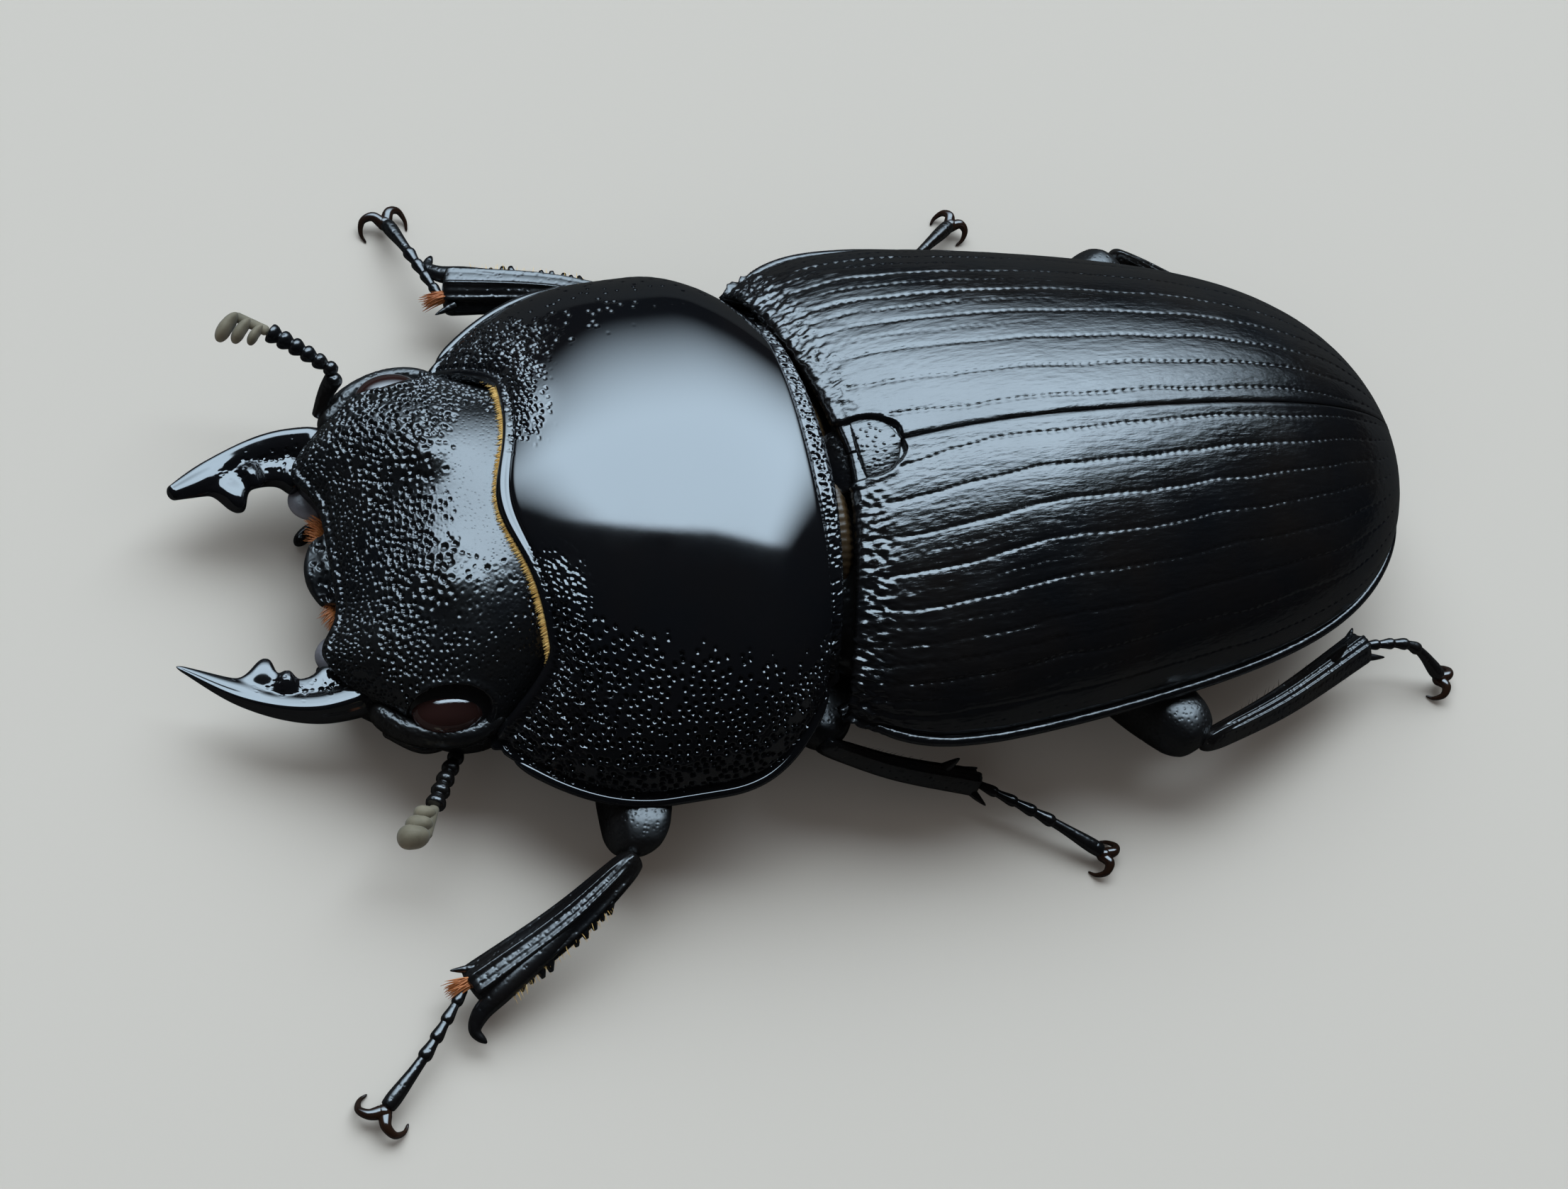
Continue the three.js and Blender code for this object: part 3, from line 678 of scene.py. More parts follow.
def call(tree, group, **values):
    """Places a shared group in a material, with this material's own values."""
    node = put(tree, "ShaderNodeGroup", node_tree=group)
    wire(tree, node, *((label.replace("_", " "), value) for label, value in values.items()))
    return Rule(tree, node.outputs[0])


# %% Fine relief
relief_group, value, end = new_group(
    "fine relief",
    {
        "Pit Spacing": 0.3, "Pit Depth": 0.02, "Wrinkle Length": 0.8, "Wrinkle Depth": 0.004,
        "Stretch": 1.0,
    },
    "Height",
)
place = place_in_mm(relief_group)
per_mm = 1 / value["Pit Spacing"]
cells = put(relief_group, "ShaderNodeTexVoronoi", ("Vector", place), ("Scale", per_mm))
pit = bump_of(Rule(relief_group, cells.outputs["Distance"]), 0.3)
longer = put(relief_group, "ShaderNodeCombineXYZ", (0, 1.0), (1, 1 / value["Stretch"]), (2, 1.0))
drawn_out = put(
    relief_group, "ShaderNodeVectorMath", (0, place), (1, longer.outputs[0]), operation="MULTIPLY",
)
wrinkle = noise(relief_group, drawn_out.outputs[0], 1 / value["Wrinkle Length"], 4.0) - 0.5
height = wrinkle * value["Wrinkle Depth"] * 2.0 - pit * value["Pit Depth"]
wire(relief_group, end, ("Height", height))

# %% Worn gloss and settled dust
gloss_group, value, end = new_group(
    "worn gloss",
    {"Clean": 0.1, "Dull": 0.3, "Patch Size": 2.0},
    "Roughness",
)
place = place_in_mm(gloss_group)
patches = (noise(gloss_group, place, 1 / value["Patch Size"]) * 2.2 - 0.7).clamped()
roughness = value["Clean"] + patches * (value["Dull"] - value["Clean"])
wire(gloss_group, end, ("Roughness", roughness))

dust_group, value, end = new_group(
    "settled dust",
    {"Amount": 0.1, "Grain": 0.15},
    "Mask",
)
place = place_in_mm(dust_group)
grains = noise(dust_group, place, 1 / value["Grain"], 2.0)
drifts = noise(dust_group, place, 0.4, 2.0)
mask = ((grains + drifts - 1.55 + value["Amount"]) * 8.0).clamped()
wire(dust_group, end, ("Mask", mask))

for group in (relief_group, gloss_group, dust_group):
    print(f"{group.name} group: {len(group.nodes)} nodes")

# %% [markdown]
# ## Finishes
#
# Living beetle shell is nearly black with a hard clear skin, so most of what is seen is
# reflection. A dark base under a thin clear coat gives that: the base layer carries the
# relief and a softer shine, the coat carries the sharp one.
# A single glossy black would look like plastic. Brown shows through where shell is thin,
# the gloss is patchy, and dust settles in hollows.


# %% One recipe for shell
DUST_COLOUR = (0.16, 0.12, 0.08, 1)
SHELL_IOR = 1.75
COAT_IOR = 1.5


def shell_finish(
    name, colour, thin_colour, gloss, relief, coat=1.0, coat_roughness=0.05, dust=0.0, stretch=1.0,
):
    """Black-brown shell: colour, patchy gloss, fine relief and dust under a clear coat."""
    material, tree, shader = new_finish(name)
    cloud = (noise(tree, place_in_mm(tree), 0.35) * 1.8 - 0.5).clamped()
    tint = mixed(tree, (*colour, 1), (*thin_colour, 1), cloud)
    grime = call(tree, dust_group, Amount=dust)
    shine = call(tree, gloss_group, Clean=gloss[0], Dull=gloss[1])
    height = call(
        tree, relief_group, Pit_Spacing=relief[0], Pit_Depth=relief[1],
        Wrinkle_Length=relief[2], Wrinkle_Depth=relief[3], Stretch=stretch,
    )
    bump = put(tree, "ShaderNodeBump", ("Height", height), ("Distance", MM))
    wire(
        tree, shader, ("Base Color", mixed(tree, tint, DUST_COLOUR, grime)),
        ("Roughness", (shine + grime * 0.5).clamped()), ("Normal", bump.outputs["Normal"]),
        ("Coat Weight", (coat - grime * coat).clamped()), ("Coat Roughness", coat_roughness),
        ("Coat IOR", COAT_IOR), ("IOR", SHELL_IOR),
    )
    return material


# %% Shell finishes
BLACK = (0.004, 0.0042, 0.005)
BROWN_BLACK = (0.009, 0.006, 0.004)
THIN_BROWN = (0.03, 0.012, 0.006)

polished_shell = shell_finish(
    "polished shell", BLACK, (0.006, 0.005, 0.005), (0.05, 0.13), (0.35, 0.0, 1.4, 0.001),
    coat=0.5, coat_roughness=0.03,
)
wing_shell = shell_finish(
    "wing case shell", BLACK, (0.008, 0.006, 0.005), (0.12, 0.26), (0.22, 0.002, 0.15, 0.011),
    coat=0.3, coat_roughness=0.1, stretch=4.5,
)
head_shell = shell_finish(
    "pitted head shell", BLACK, (0.008, 0.007, 0.006), (0.14, 0.30), (0.12, 0.006, 0.3, 0.004),
    coat=0.2, coat_roughness=0.08, dust=0.02,
)
limb_shell = shell_finish(
    "limb shell", BLACK, BROWN_BLACK, (0.16, 0.34), (0.17, 0.012, 0.4, 0.006),
    coat=0.25, coat_roughness=0.14, dust=0.04,
)
thigh_shell = shell_finish(
    "thigh shell", BLACK, BROWN_BLACK, (0.27, 0.4), (0.14, 0.01, 0.4, 0.005),
    coat=0.0, coat_roughness=0.2, dust=0.03,
)
belly_shell = shell_finish(
    "belly shell", BLACK, BROWN_BLACK, (0.2, 0.4), (0.25, 0.015, 0.7, 0.008),
    coat=0.3, coat_roughness=0.15, dust=0.06,
)
claw_shell = shell_finish(
    "claw shell", (0.012, 0.006, 0.004), THIN_BROWN, (0.14, 0.26), (0.3, 0.0, 0.4, 0.002),
    coat=0.4, coat_roughness=0.1,
)
eye_shell = shell_finish(
    "eye lens", (0.016, 0.007, 0.006), (0.03, 0.012, 0.010), (0.05, 0.08), (0.05, 0.0006, 2.0, 0.0),
    coat=0.6, coat_roughness=0.02,
)

print("shell finishes:", [name for name in bpy.data.materials.keys() if "shell" in name])


# %% Soft finishes
def soft_finish(name, colour, other_colour, roughness, sheen=0.0, grain=0.1, depth=0.01):
    """Matt felt, hair or membrane: two colours clouded together, with a fine nap."""
    material, tree, shader = new_finish(name)
    place = place_in_mm(tree)
    cloud = (noise(tree, place, 1.5) * 2.4 - 0.7).clamped()
    nap = noise(tree, place, 1 / grain, 2.0) * depth
    bump = put(tree, "ShaderNodeBump", ("Height", nap), ("Distance", MM))
    wire(
        tree, shader, ("Base Color", mixed(tree, (*colour, 1), (*other_colour, 1), cloud)),
        ("Normal", bump.outputs["Normal"]), ("Roughness", roughness), ("Sheen Weight", sheen),
    )
    return material


club_felt = soft_finish("club felt", (0.11, 0.088, 0.052), (0.19, 0.15, 0.095), 0.75, sheen=0.1)
golden_hair = soft_finish("golden hair", (0.75, 0.42, 0.10), (0.92, 0.60, 0.20), 0.5)
rust_hair = soft_finish("rust hair", (0.34, 0.09, 0.02), (0.52, 0.18, 0.05), 0.5)
dark_hair = soft_finish("dark hair", (0.05, 0.028, 0.014), (0.12, 0.07, 0.03), 0.5)
joint_skin = soft_finish("joint skin", (0.09, 0.05, 0.02), (0.045, 0.026, 0.012), 0.4)
jaw_base_skin = soft_finish("jaw base skin", (0.05, 0.044, 0.047), (0.13, 0.115, 0.12), 0.3)

# %% Keeping a finished piece
made = []


def keep(mesh, frame_matrix, finish, *nodes):
    """Puts a mesh in its place in metres, gives it a finish, and stands it for nodes."""
    piece = bpy.data.objects.new(mesh.name, mesh)
    bpy.context.scene.collection.objects.link(piece)
    mesh.transform(frame_matrix)
    mesh.materials.clear()
    mesh.materials.append(finish)
    mesh.shade_smooth()
    if nodes:
        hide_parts(*nodes)
    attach(piece, "root")
    mesh.calc_loop_triangles()
    triangles = len(mesh.loop_triangles)
    made.append((piece.name, triangles))
    print(f"{piece.name}: {triangles} triangles")


# %% [markdown]
# ## Wing cases
#
# The elytra are two hardened forewings that close over the back along a straight seam.
# Each is a long dome: broad at the shoulder, round at the tip, dropping steeply to a
# rolled side rim. Nine rows of dots run its whole length and draw together at the tip.
# It could be sculpted, but width, crest and rows all follow short rules, so one tree
# lays out a grid and bends it, and a second step presses the rows in along the normals.
# The right case is the same tree with the side turned over.

# %% The wing case tree
ELYTRA_LENGTH = 21.47
ELYTRA_HALF_WIDTH = 8.42
ELYTRA_RIM = 4.41
ELYTRA_CREST = 8.75
SEAM_GAP = 0.01
SHOULDER_AT = 0.2
SHOULDER_CUT = 0.14
TAPER = 0.32
TIP_POWER = 8.5
CREST_AT = 0.36
ARCH_POWER = 1.75

wing_tree, start, end, asked = new_tree(
    "wing case",
    Rows=2, Columns=2, Side=1.0, Length=ELYTRA_LENGTH, Half_Width=ELYTRA_HALF_WIDTH,
    Rim=ELYTRA_RIM, Crest=ELYTRA_CREST, Seam_Gap=SEAM_GAP, Striae=9.0, Groove=0.008,
    Groove_Width=0.055, Dot_Depth=0.028, Dot_Spacing=0.30, Swell=0.012, Finish=None,
)

grid = put(
    wing_tree, "GeometryNodeMeshGrid",
    ("Vertices X", start.outputs["Rows"]), ("Vertices Y", start.outputs["Columns"]),
)
position = put(wing_tree, "GeometryNodeInputPosition").outputs[0]
spot = put(wing_tree, "ShaderNodeSeparateXYZ", (0, position))
row = (Rule(wing_tree, spot.outputs["X"]) + 0.5).clamped()
column = (Rule(wing_tree, spot.outputs["Y"]) + 0.5).clamped()

# along: 0 at the shoulder, 1 at the tip, with rows crowded towards the tip
along = 1 - (1 - row) ** 1.3
# arc: 0 at the seam, 1 at the side rim; curl: 0 to 1 where the rim rolls under
MAIN_SHARE = 0.95
arc = (column / MAIN_SHARE).clamped()
curl = ((column - MAIN_SHARE) / (1 - MAIN_SHARE)).clamped()
angle = arc * (math.pi / 2)
reach = angle.of("SINE")

shoulder = 1 - (1 - along / SHOULDER_AT).clamped() ** 3 * SHOULDER_CUT
taper = 1 - ((along - SHOULDER_AT) / (1 - SHOULDER_AT)).clamped() ** 1.4 * TAPER
rounding = (1 - along ** TIP_POWER).clamped() ** 0.5
half_width = asked("Half_Width") * shoulder * taper * rounding
fall = ((along - CREST_AT) / (1 - CREST_AT)).clamped()
dip = (1 - along / CREST_AT).clamped() ** 2 * 1.45
rise = (1 - fall ** 2.5).clamped() ** 0.5
crest = asked("Rim") + (asked("Crest") - asked("Rim")) * rise - dip
arch = angle.of("COSINE").clamped() ** (2 / ARCH_POWER)
base_curve = (1 - reach ** 1.5 + reach ** 8 * 0.25) * (1 - along) ** 4
roll = curl * (math.pi / 2)
base_roll = (1 - along * asked("Length") / 0.22).clamped() ** 2 * 0.16
forward_lip = (1 - along) ** 12 * (0.12 + reach * 0.3)

x = (half_width * reach - (1 - roll.of("COSINE")) * 0.55 + asked("Seam_Gap")) * asked("Side")
y = asked("Length") * along + base_curve - forward_lip
z = asked("Rim") + (crest - asked("Rim")) * arch - roll.of("SINE") * 0.3 - base_roll
bent = put(wing_tree, "ShaderNodeCombineXYZ", (0, x), (1, y), (2, z))
marked = store(wing_tree, grid.outputs["Mesh"], "along", along)
marked = store(wing_tree, marked, "arc", column)
shaped = put(
    wing_tree, "GeometryNodeSetPosition",
    ("Geometry", marked), ("Position", bent.outputs[0]),
)
print("wing case length in mm:", ELYTRA_LENGTH)

# %% Pressing in the rows of dots
along = Rule(wing_tree, recall(wing_tree, "along"))
column = Rule(wing_tree, recall(wing_tree, "arc"))
arc = (column / MAIN_SHARE).clamped()

# equal steps of girth: the arc is longer near the seam than near the rim
girth = arc * 0.84 + (arc * math.pi).of("SINE") * 0.13 + arc ** 2 * 0.16
wander = noise(wing_tree, position, 0.35, 2.0) - 0.5
spread = (1 - along / 0.3).clamped() ** 2 * 0.45
phase = girth * asked("Striae") - spread + wander * 0.35
within = phase.of("FRACT")
row_number = phase.of("FLOOR")
off_row = (within - 0.5).of("ABSOLUTE") * 1.1
line = bump_of(off_row, asked("Groove_Width"))
inner_rows = ((phase - 0.35) * 8).clamped() * ((8.4 - phase) * 1.5).clamped()
tip_fade = ((0.985 - along) * 14).clamped()
base_fade = ((along - 0.015) * 30).clamped()
strength = inner_rows * tip_fade * base_fade * (1.15 - arc * 0.55)


def dots_along(offset):
    """Round dips at even steps along a row: 1 in the middle of each."""
    beat = along * asked("Length") / asked("Dot_Spacing") + offset + wander * 3.0
    return ((beat * (2 * math.pi)).of("COSINE") * 0.5 + 0.5) ** 2


swell = (off_row * math.pi / 1.1).of("SINE") * asked("Swell") * strength
groove = line * strength * (asked("Groove") + asked("Dot_Depth") * dots_along(row_number * 0.37))
print("wing tree's nodes so far:", len(wing_tree.nodes))

# %% Broken rows and leathery folds
# broken rows stand between the others, on the front third and towards the shoulder
half_phase = phase * 2 + 0.5
off_half = (half_phase.of("FRACT") - 0.5).of("ABSOLUTE") * 0.55
broken = ((noise(wing_tree, position, 0.9, 2.0) - 0.36) * 7).clamped()
front_third = ((0.40 - along + arc * 0.12) * 6).clamped() * ((arc - 0.16) * 5).clamped()
extra = bump_of(off_half, 0.055) * dots_along(half_phase.of("FLOOR") * 0.41)
extra = extra * broken * front_third * inner_rows * base_fade
groove = groove + extra * asked("Dot_Depth") * 1.5

# leathery wrinkles, drawn out along the wing, and coarse ones near the front edge
stretched = put(
    wing_tree, "ShaderNodeVectorMath",
    (0, position), (1, (1.9, 0.55, 1.9)), operation="MULTIPLY",
).outputs[0]
fine_folds = noise(wing_tree, stretched, 1.5, 4.0) - 0.5
deep_folds = noise(wing_tree, stretched, 2.6, 2.0) - 0.5
near_base = ((0.20 - along) * 6).eased() * (0.1 + arc * 0.9)
rough_edge = ((0.062 - along) * 30).eased()
crumpled = noise(wing_tree, position, 5.0, 2.0) - 0.5
folds = fine_folds * (0.012 + front_third * 0.035)
folds = folds + deep_folds * near_base * 0.12 + crumpled * rough_edge * (arc * 0.3 + 0.15)
print("wing tree's nodes with folds:", len(wing_tree.nodes))

# %% Seam, rim and the scutellum's seat
# a fine bead runs down the seam, and a gutter inside the side rim
seam_mm = girth * 9.9
seam = bump_of(seam_mm - 0.2, 0.12) * 0.012 - bump_of(seam_mm, 0.05) * 0.03
rim_mm = (1 - arc) * 6.8
rim = bump_of(rim_mm - 0.13, 0.13) * 0.15 - bump_of(rim_mm - 0.4, 0.14) * 0.06

# the scutellum's seat is a shallow hollow across the seam, with a low brim
where = put(wing_tree, "ShaderNodeSeparateXYZ", (0, position))
off_middle = Rule(wing_tree, where.outputs["X"]).of("ABSOLUTE")
back = Rule(wing_tree, where.outputs["Y"])
share = ((back - 1.2) / 1.45).clamped()
outline = (1.04 - share ** 2.2).clamped() ** 0.5 * 1.02
seat = ((outline - off_middle) * 14).eased() * ((2.58 - back) * 14).eased()
brim = bump_of(off_middle - outline - 0.1, 0.1) * ((2.75 - back) * 5).clamped() * 0.035
relief = (swell - groove + seam + folds * tip_fade) * (1 - seat)
lift = relief + rim * tip_fade + brim - seat * 0.16
pressed = raised(wing_tree, shaped.outputs[0], lift * asked("Side") * -1.0)
dress(wing_tree, start, end, pressed)

# %% Growing both wing cases
WING_ROWS = 375
WING_COLUMNS = 260

for name, side in SIDES:
    case = grow(
        f"wing_case_{name}", wing_tree, Rows=WING_ROWS, Columns=WING_COLUMNS, Side=side,
        Finish=wing_shell,
    )
    keep(face_outwards(case), BODY, wing_shell, f"elytron_{name}")

# %% [markdown]
# ## The pronotum
#
# The pronotum is the broad shield over the prothorax. Its front edge is hollowed round
# the head, with the corners drawn forward, and its hind edge bows back. A fine bead
# follows the rim. The middle is polished like a mirror, and the sides are closely pitted.
# The outline and arch are formulas, as in the model. The rim's bead needs a distance to
# the edge, which is measured along the grid itself.

# %% The pronotum's surface
PRONOTUM_RIM = 4.07
PRONOTUM_CREST = 8.5
PRONOTUM_SIDE_SHIFT = 0.15
PRONOTUM_PEAK = -3.6
PRONOTUM_ROLL = 0.22


def pronotum_half_width(along):
    front = 6.05 + 2.55 * (1 - clamp(1 - along / 0.48) ** 2.1)
    return front - 2.7 * clamp((along - 0.62) / 0.38) ** 2.3


def pronotum_front(reach):
    return -8.55 - 0.75 * hill(reach, 0.33) - 1.9 * clamp((reach - 0.72) / 0.28) ** 1.6


def pronotum_back(reach):
    return 0.5 - 0.75 * reach ** 2


def pronotum_crest(y):
    return PRONOTUM_CREST - np.where(y < PRONOTUM_PEAK, 0.03, 0.05) * (y - PRONOTUM_PEAK) ** 2


def pronotum_skin(along, across, depth=0.0):
    reach = np.abs(across)
    front = pronotum_front(reach) + 0.3 * depth
    back = pronotum_back(reach) - 0.3 * depth
    y = front * (1 - along) + back * along
    rim = PRONOTUM_RIM + 0.9 * clamp((along - 0.75) / 0.25) ** 2
    crest = pronotum_crest(-9.3 + 9.8 * along) - depth
    arch = clamp(1 - reach ** 2.3) ** (1 / 1.8)
    x = (pronotum_half_width(along) - 0.7 * depth) * across + PRONOTUM_SIDE_SHIFT
    return np.stack([x, y, rim + (crest - rim) * arch], axis=-1)


def edge_bead(distance, height, width):
    """A raised bead along an edge with a narrow groove inside it."""
    bead = hill(distance - width * 0.5, width * 0.55)
    return height * (bead - hill(distance - width * 1.6, width * 0.4))


print("widest half of the pronotum in mm:", float(pronotum_half_width(np.array(0.48)).round(2)))

# %% The pronotum's grid and its raised edges
PRONOTUM_ROWS = 235
PRONOTUM_COLUMNS = 395
along, across = shares_of(PRONOTUM_ROWS, PRONOTUM_COLUMNS)
skin = pronotum_skin(along, across)
from_front = run_from(skin, 0)
from_back = run_from(skin, 0, from_end=True)
from_side = np.minimum(run_from(skin, 1), run_from(skin, 1, from_end=True))
bead = (
    edge_bead(from_front, 0.07, 0.2) + edge_bead(from_back, 0.09, 0.3)
    + edge_bead(from_side, 0.12, 0.22)
)
reach = np.abs(across)
swelling = 0.13 * hill(from_front - 1.0, 0.62) * smooth(reach, 0.28, 0.5)
swelling = swelling * smooth(1 - reach, 0.0, 0.2)
skin = lifted(skin, bead + swelling)
print("highest point of the pronotum in mm:", round(float(skin[..., 2].max()), 2))

# %% Where the pronotum is pitted
# coarse pits lie on the sides, and fine ones along the front, side and hind edges;
# on the right side the coarse ones are worn shallow
clear_rim = smooth(np.minimum(np.minimum(from_front, from_back), from_side), 0.2, 0.34)
side_pits = smooth(reach + 0.35 * (1 - along), 0.72, 0.92)
unworn = np.where(across > 0, 1.0, 0.3)
pits = side_pits * clear_rim * unworn
corner = smooth(3.6 - from_front, 0.0, 2.2) * smooth(reach, 0.5, 0.8)
hind_band = smooth(0.62 - from_back, 0.0, 0.25)
side_band = smooth(0.8 - from_side, 0.0, 0.4)
fine_pits = np.maximum(np.maximum(corner, hind_band), side_band)
front_band = smooth(2.1 - from_front, 0.0, 0.9) * smooth(reach, 0.14, 0.4)
fine_pits = np.maximum(fine_pits, front_band)
fine_pits = fine_pits * smooth(np.minimum(from_front, from_side), 0.1, 0.25)
pronotum = sheet("pronotum", skin, PRONOTUM_ROLL, pits=pits, fine=fine_pits)
print("share of the pronotum with coarse pits:", round(float(pits.mean()), 2))

# %% [markdown]
# ## Pits
#
# Most of the shell is stippled with tiny round pits, close together but never in line.
# A texture bump would do for the finest. The larger ones catch light on their far lips,
# so they are pressed into the mesh: one tree scatters points that keep their distance
# from each other, as thickly as a painted mark says, and lowers the skin near each.

# %% The pit tree
pit_tree, start, end, asked = new_tree(
    "pits", Mark="pits", Spacing=0.3, Density=30.0, Radius=0.1, Depth=0.04, Lip=0.008,
    Wobble=0.0, Seed=1, Finish=None,
)

mark = recall(pit_tree, start.outputs["Mark"])
scattered = put(
    pit_tree, "GeometryNodeDistributePointsOnFaces",
    ("Mesh", start.outputs["Geometry"]), ("Distance Min", start.outputs["Spacing"]),
    ("Density Max", start.outputs["Density"]), ("Density Factor", mark),
    ("Seed", start.outputs["Seed"]), distribute_method="POISSON",
)

# the distance is measured from a slightly shaken place, so that no pit is a true circle
spot = put(pit_tree, "GeometryNodeInputPosition").outputs[0]
shake = put(pit_tree, "ShaderNodeTexNoise", ("Vector", spot), ("Scale", 5.0))
shaken = scaled(pit_tree, shake.outputs["Color"], start.outputs["Wobble"])
shifted = put(pit_tree, "ShaderNodeVectorMath", (0, spot), (1, shaken), operation="ADD")
nearest = put(
    pit_tree, "GeometryNodeProximity", ("Geometry", scattered.outputs["Points"]),
    ("Sample Position", shifted.outputs[0]), target_element="POINTS",
)
painted = Rule(pit_tree, mark)
distance = Rule(pit_tree, nearest.outputs["Distance"])
radius = asked("Radius") * (0.7 + painted * 0.3)
bowl = (1 - (distance / radius) ** 2).clamped() ** 1.5
lip = bump_of(distance / radius - 1.15, 0.25) * asked("Lip")
strength = (painted * 1.2).eased()
sunk = raised(pit_tree, start.outputs["Geometry"], (lip - bowl * asked("Depth")) * strength)
dress(pit_tree, start, end, sunk)


def pitted(name, mesh, finish, **sizes):
    return grow(name, pit_tree, mesh, Finish=finish, **sizes)


# %% Keeping the pronotum
pronotum = pitted(
    "pronotum_coarse", pronotum, polished_shell, Spacing=0.18, Density=42.0, Radius=0.1,
    Depth=0.17, Lip=0.016,
)
pronotum = pitted(
    "pronotum_shield", pronotum, polished_shell, Mark="fine", Spacing=0.11, Density=95.0,
    Radius=0.07, Depth=0.09, Lip=0.014, Wobble=0.04, Seed=17,
)
keep(pronotum, FORE, polished_shell, "pronotum")

# %% The side beads of the pronotum
SIDE_BEAD = round_section(0.16, 0.06, 0.06)
BEAD_STAND_OFF = 0.09
bead_share = np.linspace(0.05, 0.97, 40)
for name, side in SIDES:
    stand_off = np.array([BEAD_STAND_OFF * side, 0.0, 0.07])
    bead_path = pronotum_skin(bead_share, np.full(40, side)) + stand_off
    bead = limb(f"pronotum_bead_{name}", bead_path, SIDE_BEAD, rows=260, sides=16)
    keep(bead, FORE, polished_shell)

# %% [markdown]
# ## The head
#
# Seen from above the head is a broad, flat wedge. It widens from the neck to cheeks
# that wrap the eyes, then narrows to a thin, slightly hollow front edge. The nape is
# polished, and the brow and sides are as rough as gravel, with two low knobs.
# One formula sheet carries the whole top. Eye sockets are pressed into it where the eyes
# stand, so that each eye sits in a hollow with a raised lid.

# %% The head's surface
HEAD_BACK = -7.9
HEAD_FRONT = -14.25
HEAD_SIDE_LEVEL = 3.9
HEAD_ROLL = 0.16
EYE_CENTRE = np.array([5.22, -11.6, 4.96])
EYE_RADII = np.array([0.78, 1.1, 0.66])


def head_half_width(along):
    return 5.25 + 0.9 * smooth(along, 0.1, 0.58) - 1.35 * clamp((along - 0.62) / 0.38) ** 1.8


def head_front_edge(reach):
    """Straight over the lip, with a lobe over the root of each jaw."""
    return HEAD_FRONT + 1.2 * clamp((reach - 0.8) / 0.2) ** 1.5 - 0.65 * hill(reach - 0.62, 0.17)


def head_top(along, across):
    reach = np.abs(across)
    x = head_half_width(along) * across
    y = HEAD_BACK + (head_front_edge(reach) - HEAD_BACK) * along
    crest = 7.15 - 2.05 * clamp(along) ** 3.2
    knobs = 0.32 * hill(np.abs(x) - 2.2, 0.9) * hill(y + 11.2, 0.9)
    arch = clamp(1 - reach ** (2.7 + 0.7 * smooth(along, 0.05, 0.5))) ** (1 / 1.9)
    z = HEAD_SIDE_LEVEL + 0.1 + (crest - HEAD_SIDE_LEVEL) * arch + knobs
    return np.stack([x, y, z], axis=-1)


def head_bottom(along, across):
    point = head_top(along, across)
    arch = clamp(1 - np.abs(across) ** 2.6) ** (1 / 1.6)
    depth = 1.6 + (1.1 - 1.6) * clamp(along) ** 2
    point[..., 2] = HEAD_SIDE_LEVEL - 0.35 - depth * arch
    return point


print("head length in mm:", round(HEAD_BACK - HEAD_FRONT, 2))

# %% The head's grid and its eye sockets
HEAD_ROWS = 255
HEAD_COLUMNS = 360
NECK_SHARE = -0.22
along, across = shares_of(HEAD_ROWS, HEAD_COLUMNS, NECK_SHARE)
skin = head_top(along, across)

# each eye looks out of a slope, and its ring is measured along the head and across it
lid_height = np.zeros_like(along)
socket_depth = np.zeros_like(along)
for side in (1, -1):
    centre = EYE_CENTRE * [side, 1, 1]
    across_slope = np.array([side * 0.78, 0, -0.62])
    apart = skin - centre
    lengthways = apart[..., 1] / EYE_RADII[1]
    sideways = apart @ across_slope / 0.80
    ring = np.sqrt(lengthways ** 2 + sideways ** 2)
    near = skin[..., 0] * side > 2.5
    lid_height += near * 0.05 * hill(ring - 1.18, 0.12)
    socket_depth += near * smooth(1.1 - ring, 0.0, 0.1) * 1.1
skin = lifted(skin, lid_height - socket_depth)
print("depth of the eye sockets in mm:", round(float(socket_depth.max()), 2))

# %% Where the head is smooth and where it is rough
x = skin[..., 0]
y = skin[..., 1]
to_nape = smooth(y, -10.6, -9.3)
middle = hill(x, 2.1)
from_front = run_from(skin, 0, from_end=True)
nape = smooth(hill(x + 1.0, 2.4), 0.3, 0.5)
polished = clamp(to_nape * nape + middle * smooth(y, -11.6, -9.9))
rough = clamp(1 - polished) * (socket_depth < 0.02)
lumps = smooth(hill(np.abs(x) - 2.2, 1.5) * hill(y + 10.6, 1.6), 0.25, 0.6)
edges = clamp(1 - smooth(from_front, 0.9, 2.2))
coarse = rough * lumps
middling = rough * clamp(1 - lumps) * clamp(1 - edges)
fine = rough * edges
skin = lifted(skin, edge_bead(from_front, 0.03, 0.18))
head = sheet("head", skin, HEAD_ROLL, coarse=coarse, middling=middling, fine=fine)
print("polished share of the head:", round(float(polished.mean()), 2))

# %% Keeping the head
HEAD_PITS = [
    ("coarse", {"Spacing": 0.19, "Density": 60.0, "Radius": 0.15, "Depth": 0.13, "Wobble": 0.18}),
    ("middling", {"Spacing": 0.15, "Density": 70.0, "Radius": 0.095, "Depth": 0.14, "Wobble": 0.1}),
    ("fine", {"Spacing": 0.11, "Density": 100.0, "Radius": 0.068, "Depth": 0.075, "Wobble": 0.06}),
]
for number, (mark, sizes) in enumerate(HEAD_PITS):
    head = pitted(
        f"head_{mark}", head, head_shell, Mark=mark, Lip=0.01, Seed=3 + number, **sizes,
    )
head.name = "head_capsule"
keep(head, FORE, head_shell, "head")

